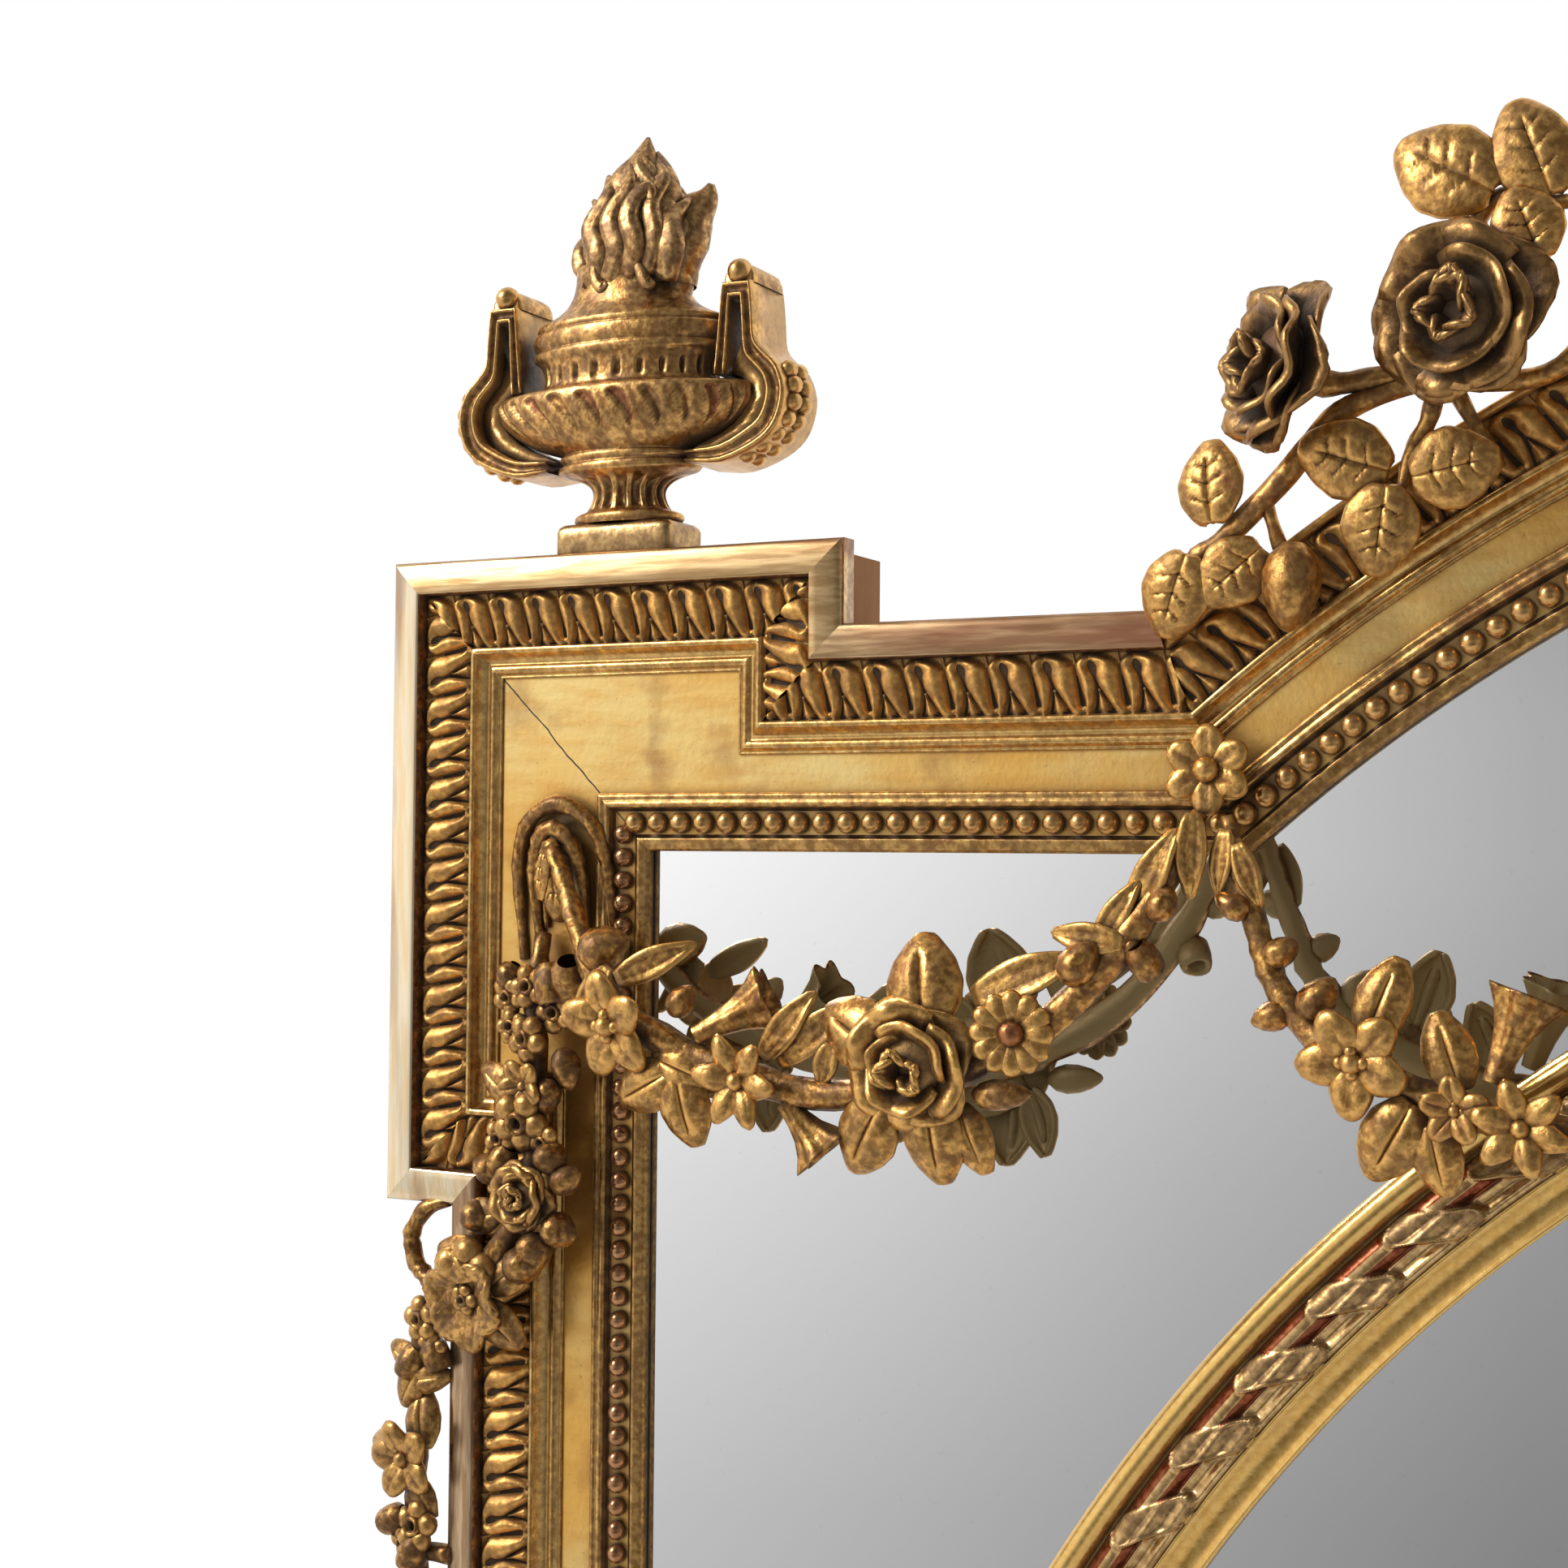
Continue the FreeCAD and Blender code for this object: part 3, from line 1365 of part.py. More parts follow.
for x, z, length, width, turn in (
    (0, 160, 38, 26, 90),
    (-30, 146, 34, 24, 50),
    (30, 146, 34, 24, -50),
    (-72, 116, 30, 22, 25),
    (72, 116, 30, 22, -25),
    (-28, 70, 28, 20, -30),
    (28, 70, 28, 20, 30),
):
    bouquet.leaf(crest_at(x, z), length, width, turn)
bouquet.finish("crest_bouquet")

doc.recompute()
for thing in doc.Objects:
    if "Invalid" in thing.State or "Error" in thing.State:
        raise RuntimeError(f"{thing.Name} did not build: {thing.State}")
os.makedirs("parts", exist_ok=True)
for piece in subparts:
    if piece.Shape.isNull() or not piece.Shape.isValid():
        raise RuntimeError(f"{piece.Label} has no sound solid")
for piece in subparts:
    piece.Shape.exportStep(f"parts/{piece.Label}.step")
    print(piece.Label, len(piece.Shape.Solids), "solids", round(piece.Shape.Volume), "mm3")
print(len(subparts), "pieces")
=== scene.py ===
import math

import bpy
import numpy as np
from mathutils import Matrix, Vector


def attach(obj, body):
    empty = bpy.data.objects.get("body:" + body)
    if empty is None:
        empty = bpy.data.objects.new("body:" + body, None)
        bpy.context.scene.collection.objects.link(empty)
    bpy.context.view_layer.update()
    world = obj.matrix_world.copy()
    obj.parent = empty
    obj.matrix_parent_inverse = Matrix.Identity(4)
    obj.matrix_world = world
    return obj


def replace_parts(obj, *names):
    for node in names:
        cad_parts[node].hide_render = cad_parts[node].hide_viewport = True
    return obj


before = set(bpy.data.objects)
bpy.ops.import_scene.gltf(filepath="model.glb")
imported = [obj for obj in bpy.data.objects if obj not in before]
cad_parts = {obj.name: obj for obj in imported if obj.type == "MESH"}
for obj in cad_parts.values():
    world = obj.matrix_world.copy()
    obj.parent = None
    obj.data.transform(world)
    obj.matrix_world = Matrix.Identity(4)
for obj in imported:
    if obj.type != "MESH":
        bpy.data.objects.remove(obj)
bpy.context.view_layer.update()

# Carcass boards: pine boards halved together into an eared, arched frame, ochre washed at the sides.
# Their fronts are gessoed and gilded, and show as the plain satin frieze between the mouldings.
# Old joints have opened into hair cracks across the mitres.


class Coats:
    """Coats of colour laid one over another, as the nodes of one tree."""

    def __init__(self, tree):
        self.tree = tree

    def node(self, kind, **settings):
        made = self.tree.nodes.new(kind)
        for key, value in settings.items():
            setattr(made, key, value)
        return made

    def wire(self, value, socket):
        if isinstance(value, bpy.types.NodeSocket):
            self.tree.links.new(value, socket)
        else:
            socket.default_value = value

    def ramp(self, source, *stops):
        made = self.node("ShaderNodeValToRGB")
        marks = made.color_ramp.elements
        while len(marks) < len(stops):
            marks.new(0.5)
        for mark, (spot, shade) in zip(marks, stops):
            mark.position = spot
            mark.color = (shade, shade, shade, 1)
        self.wire(source, made.inputs["Fac"])
        return made.outputs["Color"]

    def blend(self, share, under, over):
        made = self.node("ShaderNodeMix", data_type="RGBA")
        self.wire(share, made.inputs[0])
        for value, socket in ((under, made.inputs[6]), (over, made.inputs[7])):
            self.wire((*value, 1) if isinstance(value, tuple) else value, socket)
        return made.outputs[2]

    def maths(self, action, first, second=0.0, third=0.0, clamp=False):
        made = self.node("ShaderNodeMath", operation=action, use_clamp=clamp)
        for value, socket in zip((first, second, third), made.inputs):
            self.wire(value, socket)
        return made.outputs[0]

    def times(self, first, second, clamp=False):
        return self.maths("MULTIPLY", first, second, clamp=clamp)


class Finish(Coats):
    """A finish laid on in coats, one material."""

    def __init__(self, name):
        self.material = bpy.data.materials.new(name)
        self.material.use_nodes = True
        super().__init__(self.material.node_tree)
        self.skin = self.tree.nodes["Principled BSDF"]
        self.place = self.node("ShaderNodeTexCoord").outputs["Object"]
        self.shape = self.node("ShaderNodeNewGeometry")

    def lay(self, socket, value):
        self.wire(value, self.skin.inputs[socket])

    def noise(self, scale, detail=3.0, stretch=(1, 1, 1)):
        mapping = self.node("ShaderNodeMapping")
        mapping.inputs["Scale"].default_value = stretch
        self.wire(self.place, mapping.inputs["Vector"])
        cloud = self.node("ShaderNodeTexNoise")
        cloud.inputs["Scale"].default_value = scale
        cloud.inputs["Detail"].default_value = detail
        self.wire(mapping.outputs["Vector"], cloud.inputs["Vector"])
        return cloud.outputs[0]

    def facing(self, axis):
        """How far the surface faces along one axis."""
        parts = self.node("ShaderNodeSeparateXYZ")
        self.wire(self.shape.outputs["Normal"], parts.inputs[0])
        return parts.outputs[axis]

    def hollows(self, reach):
        """How deep a spot lies in a hollow: 0 in the open, 1 in a crease."""
        shade = self.node("ShaderNodeAmbientOcclusion", samples=6, only_local=False)
        shade.inputs["Distance"].default_value = reach
        return self.maths("SUBTRACT", 1.0, shade.outputs["AO"], clamp=True)

    def bump(self, height, depth, strength):
        made = self.node("ShaderNodeBump")
        made.inputs["Distance"].default_value = depth
        made.inputs["Strength"].default_value = strength
        self.wire(height, made.inputs["Height"])
        self.lay("Normal", made.outputs["Normal"])


BOLE_RED = (0.24, 0.05, 0.02)
BROWN_SIZE = (0.12, 0.056, 0.02)
# Brown for dirt and for painted shade in hollows and corners.
DIRT_AND_SHADE_BROWN = (0.062, 0.046, 0.034)
BACK_OCHRE = (0.35, 0.245, 0.1)


def gilding(name, leaf, patina, rough, red, wash, dirt_shade_amount, reach, back=False, tooth=0.00045, draw=(1, 1, 1)):
    """Gold leaf on red bole under brown size: bright where it stands proud, darker in the hollows with dirt
    and painted shade.
    """
    coat = Finish(name)
    mottle = coat.noise(430, 8, draw)
    wear = coat.noise(150, 9, draw)
    patches = coat.noise(42, 8, draw)
    pointed = coat.shape.outputs["Pointiness"]
    proud = coat.ramp(pointed, (0.49, 0.0), (0.56, 1.0))
    flecks = coat.ramp(mottle, (0.42, 0.0), (0.6, 0.8))
    gold = coat.blend(coat.maths("MULTIPLY_ADD", proud, 0.7, flecks, clamp=True), patina, leaf)
    low = coat.maths("SUBTRACT", 1.0, coat.times(proud, 0.75), clamp=True)
    toned = coat.times(coat.ramp(wear, (0.44, 0.0), (0.58, 1.0)), low)
    toned = coat.times(toned, wash, clamp=True)
    edge = coat.ramp(pointed, (0.58, 0.0), (0.66, 1.0))
    edge = coat.times(edge, coat.ramp(wear, (0.5, 0.0), (0.6, 1.0)))
    bare = coat.maths("MAXIMUM", coat.ramp(patches, (0.6, 0.0), (0.7, 1.0)), edge)
    bare = coat.times(bare, red, clamp=True)
    # Painted shade with dirt: ambient occlusion darkens the hollows towards a dirt brown and takes the
    # metal away there.
    grime_and_shade = coat.ramp(coat.hollows(reach), (0.24, 0.0), (0.7, 1.0))
    grime_and_shade = coat.times(grime_and_shade, coat.ramp(mottle, (0.3, 0.75), (0.6, 1.0)))
    grime_and_shade = coat.times(grime_and_shade, dirt_shade_amount, clamp=True)
    colour = coat.blend(bare, coat.blend(toned, gold, BROWN_SIZE), BOLE_RED)
    colour = coat.blend(grime_and_shade, colour, DIRT_AND_SHADE_BROWN)
    covered = coat.maths("MAXIMUM", coat.times(toned, 0.75), coat.times(bare, 0.8))
    covered = coat.maths("MAXIMUM", covered, grime_and_shade)
    if back:
        behind = coat.ramp(coat.facing("Y"), (0.3, 0.0), (0.55, 1.0))
        colour = coat.blend(behind, colour, BACK_OCHRE)
        covered = coat.maths("MAXIMUM", covered, coat.times(behind, 0.7))
    coat.lay("Base Color", colour)
    coat.lay("Metallic", coat.maths("SUBTRACT", 1.0, covered, clamp=True))
    dull = coat.maths("MULTIPLY_ADD", covered, 0.28, rough)
    coat.lay("Roughness", coat.maths("MULTIPLY_ADD", mottle, 0.14, dull))
    coat.bump(coat.maths("ADD", mottle, wear), tooth, 0.6)
    return coat.material


MITRE_CRACKS = ((-1.0, 0.8085), (1.0, 0.6705))
CRACK_HALF = 0.00042
CRACK_JITTER = 0.003


def board_finish():
    """Gilded fronts, ochre-washed sides and bare pine backs, on one board."""
    coat = Finish("gilded_pine")
    spot = coat.node("ShaderNodeSeparateXYZ")
    coat.wire(coat.place, spot.inputs[0])
    facing = coat.facing("Y")
    front = coat.maths("LESS_THAN", facing, -0.5)
    back = coat.maths("GREATER_THAN", facing, 0.5)
    cloud = coat.ramp(coat.noise(13, 6), (0.38, 0.0), (0.6, 1.0))
    brushed = coat.noise(170, 8, (0.22, 1, 1))
    gold = coat.blend(cloud, (1.0, 0.75, 0.3), (0.97, 0.55, 0.13))
    gold = coat.blend(coat.ramp(brushed, (0.42, 0.0), (0.64, 0.5)), gold, (0.78, 0.4, 0.085))
    # Painted reflection: the frieze turns amber near the gilt mouldings, as though it reflected them.
    moulding_reflection = coat.times(coat.ramp(coat.hollows(0.045), (0.03, 0.0), (0.4, 1.0)), 0.75)
    gold = coat.blend(moulding_reflection, gold, (0.86, 0.43, 0.075))
    pits = coat.times(coat.ramp(coat.noise(640, 9), (0.65, 0.0), (0.74, 1.0)), 0.35)
    # Painted shade with dirt in the frieze's corners, joined by real pits and the mitre cracks; all turn
    # dirt brown and lose their metal.
    grime_and_shade = coat.times(coat.ramp(coat.hollows(0.016), (0.18, 0.0), (0.7, 1.0)), 0.8)
    rubbed = coat.times(coat.ramp(coat.noise(36, 9), (0.54, 0.0), (0.7, 1.0)), 0.6)
    soiled_or_shaded = coat.maths("MAXIMUM", grime_and_shade, pits)
    side = coat.maths("ABSOLUTE", spot.outputs["X"])
    jitter = coat.times(coat.noise(90, 2), CRACK_JITTER)
    for turn, level in MITRE_CRACKS:
        line = coat.maths("ADD", coat.times(side, turn), spot.outputs["Z"])
        away = coat.maths("SUBTRACT", coat.maths("SUBTRACT", line, jitter), level)
        crack = coat.maths("LESS_THAN", coat.maths("ABSOLUTE", away), CRACK_HALF)
        soiled_or_shaded = coat.maths("MAXIMUM", soiled_or_shaded, crack)
    face = coat.blend(soiled_or_shaded, coat.blend(rubbed, gold, (0.4, 0.16, 0.05)), DIRT_AND_SHADE_BROWN)
    rings = coat.noise(28, 5, (6, 6, 0.5))
    wash = coat.blend(rings, (0.44, 0.195, 0.055), (0.3, 0.125, 0.034))
    bare = coat.blend(rings, (0.36, 0.22, 0.11), (0.19, 0.1, 0.045))
    coat.lay("Base Color", coat.blend(front, coat.blend(back, wash, bare), face))
    clean = coat.maths("SUBTRACT", 1.0, coat.maths("MAXIMUM", soiled_or_shaded, coat.times(rubbed, 0.6)))
    coat.lay("Metallic", coat.times(coat.times(front, clean), 0.8))
    sheen = coat.maths("MULTIPLY_ADD", brushed, 0.18, 0.24)
    coat.lay("Roughness", coat.maths("MULTIPLY_ADD", coat.maths("SUBTRACT", 1.0, front), 0.4, sheen))
    coat.bump(coat.maths("ADD", brushed, coat.noise(420, 3)), 0.0003, 0.4)
    return coat.material


BOARDS = (
    "stile_board_left",
    "stile_board_right",
    "shoulder_board_left",
    "shoulder_board_right",
    "ear_board_left",
    "ear_board_right",
    "bottom_board",
    "arch_board",
)


def dress(nodes, material):
    """Gives pieces that keep their own shape a finish."""
    for node in nodes:
        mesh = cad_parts[node].data
        mesh.materials.clear()
        mesh.materials.append(material)


dress(BOARDS, board_finish())

# Outer mouldings: carved pine mitred round the frame: an ogee, a band of leaf-and-dart and a flat rim.
# The band is water gilt and dark in its hollows with dirt and painted shade; the rim is burnished and worn,
# and each length has its own coat: painted light on the ear's flank and foot, painted shade on the others.
# The ear is four short lengths, and the arch has the band but no rim.
SIGHT_HALF = 592.8
SIGHT_TOP = 1402.8
SIGHT_LOW = 79.2
EAR_HALF = 622.8
EAR_NEAR = 590.2
EAR_FOOT = 1349.2
EAR_HEAD = 1432.8
ARCH_HALF = 369.9
ARCH_RISE = 141.2
ARCH_RADIUS = (ARCH_HALF**2 + ARCH_RISE**2) / (2 * ARCH_RISE)
ARCH_CENTRE = SIGHT_TOP + ARCH_RISE - ARCH_RADIUS
BAND_IN = 45.9
BAND_OUT = 66.6
BAND_MIDDLE = 56.0
LEAF_PITCH = 15.6
LEAF_HEIGHT = 4.7
FORK = 0.47
BROAD_LOBE = (0, 0.05, 0.14, 0.27, 0.42, 0.57, 0.72, 0.85, 0.95)
FOLD_COLUMNS = (0, 0.14, 0.5, 0.86)
SMALL_LOBE = (0, 0.08, 0.24, 0.45, 0.66, 0.84, 0.95)
GROUND_COLUMNS = (0, 0.06, 0.2, 0.3, 0.42, 0.54, 0.66, 0.78, 0.88, 0.94)
BOARD_FRONT = 30.0
STRAIGHT_STEP = 24.0
BENT_STEP = 8.0

carved_gold = gilding(
    "carved_gold", (0.95, 0.55, 0.165), (0.68, 0.345, 0.098), 0.38, 0.1, 0.42, 0.97, 0.0034,
)
# Dark finish for the band's ground, slits, eyes and folds: dirt and painted shade.
ground_shade_dirt = gilding("ground_shade_dirt", (0.1, 0.07, 0.045), (0.045, 0.032, 0.022), 0.5, 0.05, 1.0, 1.0, 0.008)
ogee_gold = gilding(
    "ogee_gold", (0.95, 0.6, 0.21), (0.62, 0.34, 0.105), 0.18, 0.18, 0.35, 0.92, 0.006, tooth=0.00015,
)
# Lit and shaded copies of one burnished gilding, one per length of rim: painted light on the ear's flank
# and foot, painted shade on the rest, over real streaks of wear.
RIM_COATS = (
    ("rim_worn_shaded", (0.7, 0.5, 0.3), (0.4, 0.24, 0.13), 0.17, 0.9, 0.45, (1, 1, 0.1)),
    ("rim_lit", (1.0, 0.87, 0.64), (0.98, 0.74, 0.44), 0.13, 0.55, 0.1, (1, 1, 0.1)),
    ("rim_rubbed_shaded", (0.92, 0.64, 0.32), (0.62, 0.38, 0.165), 0.14, 0.6, 0.28, (0.1, 1, 1)),
    ("rim_brown_shaded", (0.72, 0.49, 0.26), (0.42, 0.255, 0.125), 0.16, 0.6, 0.45, (0.1, 1, 1)),
)
rim_finishes = [carved_gold, ground_shade_dirt, ogee_gold]
rim_finishes += [gilding(*row, 0.6, 0.005, tooth=0.0001, draw=draw) for *row, draw in RIM_COATS]
rim_finishes.append(
    gilding("rim_edge", (0.46, 0.25, 0.11), (0.2, 0.085, 0.038), 0.26, 0.85, 0.7, 0.8, 0.004)
)
# Which lit or shaded rim coat each length takes; the arch has no rim and keeps the band's gold.
RIM_PICK = {"side": 3, "flank": 4, "foot": 4, "head": 5, "return": 5, "shoulder": 6, "low": 6, "arch": 0}
OGEE_PICK = 2
EDGE_PICK = 7
OGEE_ROWS = 17
EDGE_ROWS = (0, 1, 8)


def turned(faces):
    """Faces wound the other way round."""
    return [tuple(reversed(face)) for face in faces]


def carve(name, points, faces, finishes, choice):
    """Makes a piece from points in millimetres and rides it on the mirror."""
    mesh = bpy.data.meshes.new(name)
    mesh.from_pydata((np.asarray(points, float) / 1000.0).tolist(), [], faces)
    for finish in finishes:
        mesh.materials.append(finish)
    mesh.polygons.foreach_set("material_index", np.asarray(choice, dtype=np.int32))
    mesh.polygons.foreach_set("use_smooth", np.full(len(mesh.polygons), True))
    mesh.update()
    piece = bpy.data.objects.new(name, mesh)
    bpy.context.scene.collection.objects.link(piece)
    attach(piece, "mirror")
    return piece


def fit(node, name, points, faces, finishes, choice):
    """Puts a carved piece in its place, and with a left-hand piece its right-hand twin."""
    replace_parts(carve(name, points, faces, finishes, choice), node)
    if "left" in node:
        mirrored = np.asarray(points) * (-1, 1, 1)
        twin = carve(name.replace("left", "right"), mirrored, turned(faces), finishes, choice)
        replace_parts(twin, node.replace("left", "right"))


def unit(value):
    """A value held between 0 and 1."""
    return np.clip(value, 0, 1)


def hump(off, width):
    """A smooth rise that fades within a width."""
    return np.exp(-((off / width) ** 2))


def quad(i, j, rows):
    """Corners of one face in a grid of points."""
    a = i * rows + j
    return a, a + 1, a + rows + 1, a + rows


def lobe_lines(v):
    """Across one leaf: where the broad lobe starts, the fold either side, and where the small lobe ends."""
    eye = 0.044 + 0.072 * hump(v - 0.76, 0.1)
    eye = eye * unit((0.88 - v) / 0.06) ** 0.5
    slit = 0.41 * (0.81 - v)
    under = unit((FORK - v) / FORK)
    broad = np.where(v > FORK, slit + eye, 0.183 + 0.42 * under)
    small = 1 + np.where(v > FORK, slit - eye, 0.096 - 0.12 * under**1.6)
    fold = 0.58 + 0.28 * (0.95 - v)
    fold_half = 0.016 + 0.056 * unit((0.78 - v) / 0.58)
    fold_half = fold_half * unit((v - 0.07) / 0.09) ** 0.5 + 0.003
    return broad, fold - fold_half, fold + fold_half, small


def leaf_and_dart(along, across):
    """Height of the carved band, and a mask of its ground, fold middles and outer edge, dark with dirt and
    painted shade: folded leaves, with darts in their forks.
    """
    v = unit((across - BAND_IN) / (BAND_OUT - BAND_IN))
    broad, fold_in, fold_out, small = lobe_lines(v)
    spot = np.mod(along / LEAF_PITCH - broad + 1e-6, 1.0)
    width = small - broad
    on_broad = spot <= fold_in - broad + 2e-6
    on_small = (spot >= fold_out - broad - 2e-6) & (spot <= width + 2e-6)
    broad_share = unit(spot / np.maximum(fold_in - broad, 0.01))
    small_share = unit((spot - fold_out + broad) / np.maximum(small - fold_out, 0.01))
    broad_top = unit((0.985 - 0.17 * broad_share**2 - v) / 0.1) ** 0.5
    small_top = unit((0.985 - 0.15 * (1 - small_share) ** 2 - v) / 0.1) ** 0.5
    body = np.where(on_broad, np.sin(np.pi * (0.2 + 0.66 * broad_share)) ** 0.9 * broad_top, 0.0)
    body = np.where(on_small, 0.9 * np.sin(np.pi * (0.16 + 0.64 * small_share)) ** 0.9 * small_top, body)
    body = body * (0.72 + 0.3 * np.sin(np.pi * unit(v * 1.05)))
    in_fold = (spot > fold_in - broad) & (spot < fold_out - broad)
    on_ground = spot > width + 2e-6
    ground = 0.4 * unit((v - 0.3) / 0.2) * (v < 0.93)
    body = np.where(on_ground, ground, body)
    body = np.where(in_fold, np.where(v < 0.1, 0.42, 0.14), body)
    way = (spot - width) / np.maximum(1 - width, 0.01)
    dart_half = 0.32 * unit((0.42 - v) / 0.16) * unit((v - 0.02) / 0.08) ** 0.5
    dart = unit(1 - np.abs(way - 0.54) / np.maximum(dart_half, 0.004))
    dart = dart * on_ground * (dart_half > 0)
    height = body + 0.62 * np.sqrt(dart)
    # Painted shade with dirt: the ground round the darts, the eyes and slits, the middle of each fold and
    # the outer edge take the dark finish.
    dirty_or_shaded = (on_ground & (dart < 0.05)) | (in_fold & (v > 0.12) & (v < 0.66)) | (v > 0.96)
    return LEAF_HEIGHT * height * unit((across - BAND_IN - 0.2) / 0.5), dirty_or_shaded & (across > BAND_IN)


def rim_section():
    """Distance out from the glass and height above the board: bead, hollow, fillet, ground of the band."""
    edge = np.array([
        (34.5, 0.0), (34.5, 0.8), (35.1, 1.0), (35.4, 0.6), (35.8, 1.2), (36.5, 2.2), (37.4, 2.7),
        (38.4, 2.6), (39.2, 2.0), (39.6, 1.5), (40.3, 1.5), (41.2, 2.0), (42.2, 3.0), (43.0, 4.2),
        (43.5, 5.4), (43.8, 6.0), (45.4, 6.1), (45.9, 5.4),
    ])
    band = np.linspace(BAND_IN + 0.4, BAND_OUT - 0.3, 25)
    band_rise = 3.0 + 1.9 * ((band - BAND_IN) / (BAND_OUT - BAND_IN)) ** 2
    return np.concatenate([edge[:, 0], band]), np.concatenate([edge[:, 1], band_rise])


def strip(place, first, last, section, step, relief=None):
    """A moulding run: columns along its length, rows round its section, mitred by first and last."""
    reach, rise = (np.asarray(values, float) for values in section)
    start = np.array([first(u) for u in reach])
    end = np.array([last(u) for u in reach])
    if relief is None:
        share = np.linspace(0, 1, max(2, int(np.ceil(np.max(end - start) / step)) + 1))[:, None]
        along = start[None, :] + (end - start)[None, :] * share
    else:
        v = unit((reach - BAND_IN) / (BAND_OUT - BAND_IN))
        units = np.arange(math.floor(start.min() / LEAF_PITCH) - 1, math.ceil(end.max() / LEAF_PITCH) + 2)
        broad, fold_in, fold_out, small = lobe_lines(v)
        columns = []
        for begin, finish, shares in (
            (broad, fold_in, BROAD_LOBE),
            (fold_in, fold_out, FOLD_COLUMNS),
            (fold_out, small, SMALL_LOBE),
            (small, broad + 1, GROUND_COLUMNS),
        ):
            columns += [begin + (finish - begin) * share for share in shares]
        along = (units[:, None, None] + np.array(columns)[None, :, :]).reshape(-1, len(v)) * LEAF_PITCH
        along = np.clip(along, start[None, :], end[None, :])
    columns = len(along)
    across = np.broadcast_to(reach[None, :], along.shape)
    depth = BOARD_FRONT + np.broadcast_to(rise[None, :], along.shape)
    dirty_or_shaded = np.zeros(along.shape, bool)
    if relief is not None:
        lift, dirty_or_shaded = relief(along, across)
        depth = depth + lift
    points = place(along, across, depth).reshape(-1, 3)
    rows = len(reach)
    faces = [
        quad(i, j, rows)
        for i in range(columns - 1)
        for j in range(rows - 1)
        if along[i + 1, j] > along[i, j] or along[i + 1, j + 1] > along[i, j + 1]
    ]
    ways = [face[0] % rows for face in faces]
    soiled_or_shaded = dirty_or_shaded.reshape(-1)
    return points, faces, ways, [soiled_or_shaded[face[0]] and soiled_or_shaded[face[2]] for face in faces]


def stand(x_of):
    """Places along an upright length."""
    return lambda s, u, t: np.stack([x_of(u), -t, s], axis=-1)


def lie(z_of):
    """Places along a level length."""
    return lambda s, u, t: np.stack([s, -t, z_of(u)], axis=-1)


def bent(s, u, t):
    """Along the arch: s is an angle in millimetres at the leaf band's middle."""
    turn = s / (ARCH_RADIUS + BAND_MIDDLE)
    radius = ARCH_RADIUS + u
    return np.stack([radius * np.sin(turn), -t, ARCH_CENTRE + radius * np.cos(turn)], axis=-1)


def shoulder_end(u):
    """Where the shoulder meets the arch."""
    rise = SIGHT_TOP + u - ARCH_CENTRE
    return -math.sqrt((ARCH_RADIUS + u) ** 2 - rise**2)


def arch_end(u):
    """The same place, as a length along the arch."""
    rise = SIGHT_TOP + u - ARCH_CENTRE
    return math.atan2(-shoulder_end(u), rise) * (ARCH_RADIUS + BAND_MIDDLE)


LENGTHS = {
    "side": (stand(lambda u: -(SIGHT_HALF + u)), lambda u: SIGHT_LOW - u, lambda u: EAR_FOOT - u),
    "low": (lie(lambda u: SIGHT_LOW - u), lambda u: -(SIGHT_HALF + u), lambda u: SIGHT_HALF + u),
    "shoulder": (lie(lambda u: SIGHT_TOP + u), lambda u: u - EAR_NEAR, shoulder_end),
    "foot": (lie(lambda u: EAR_FOOT - u), lambda u: -EAR_HALF - u, lambda u: -SIGHT_HALF - u),
    "flank": (stand(lambda u: -(EAR_HALF + u)), lambda u: EAR_FOOT - u, lambda u: EAR_HEAD + u),
    "head": (lie(lambda u: EAR_HEAD + u), lambda u: -EAR_HALF - u, lambda u: u - EAR_NEAR),
    "return": (stand(lambda u: u - EAR_NEAR), lambda u: SIGHT_TOP + u, lambda u: EAR_HEAD + u),
    "arch": (bent, lambda u: -arch_end(u), arch_end),
}
RIM_REACH = [66.3, 66.5, 66.9, 67.8, 70.0, 73.0, 76.0, 78.0, 78.9, 79.2, 79.2, 75.0]
RIM_RISE = [4.6, 10.0, 10.7, 11.0, 10.8, 10.4, 9.9, 9.4, 8.8, 7.8, 0.0, 0.0]
BORDER_REACH = [66.3, 66.6, 67.2, 68.4, 69.0, 69.0, 64.0]
BORDER_RISE = [4.6, 8.2, 8.8, 8.8, 8.2, 0.0, 0.0]


def moulding(runs, rim=True):
    """Joins mitred lengths into one piece, each with its own finish on the rim."""
    reach, rise = rim_section()
    far = (RIM_REACH, RIM_RISE) if rim else (BORDER_REACH, BORDER_RISE)
    points, faces, choice = [], [], []
    total = 0
    for run in runs:
        place, first, last = LENGTHS[run]
        for section, step, relief, pick in (
            ((reach, rise), 0.0, leaf_and_dart, 0),
            (far, BENT_STEP if run == "arch" else STRAIGHT_STEP, None, RIM_PICK[run]),
        ):
            spots, quads, ways, dirty_or_shaded = strip(place, first, last, section, step, relief)
            if run in ("low", "foot", "return"):
                quads = turned(quads)
            points.append(spots)
            faces += [tuple(corner + total for corner in quad) for quad in quads]
            if relief is not None:
                # Band faces with both corners dirty or shaded take the dark ground finish, the first rows
                # the ogee, the rest carved gold.
                choice += [OGEE_PICK if way < OGEE_ROWS else int(mud_or_shade) for way, mud_or_shade in zip(ways, dirty_or_shaded)]
            else:
                choice += [EDGE_PICK if rim and way in EDGE_ROWS else pick for way in ways]
            total += len(spots)
    return np.concatenate(points), faces, choice


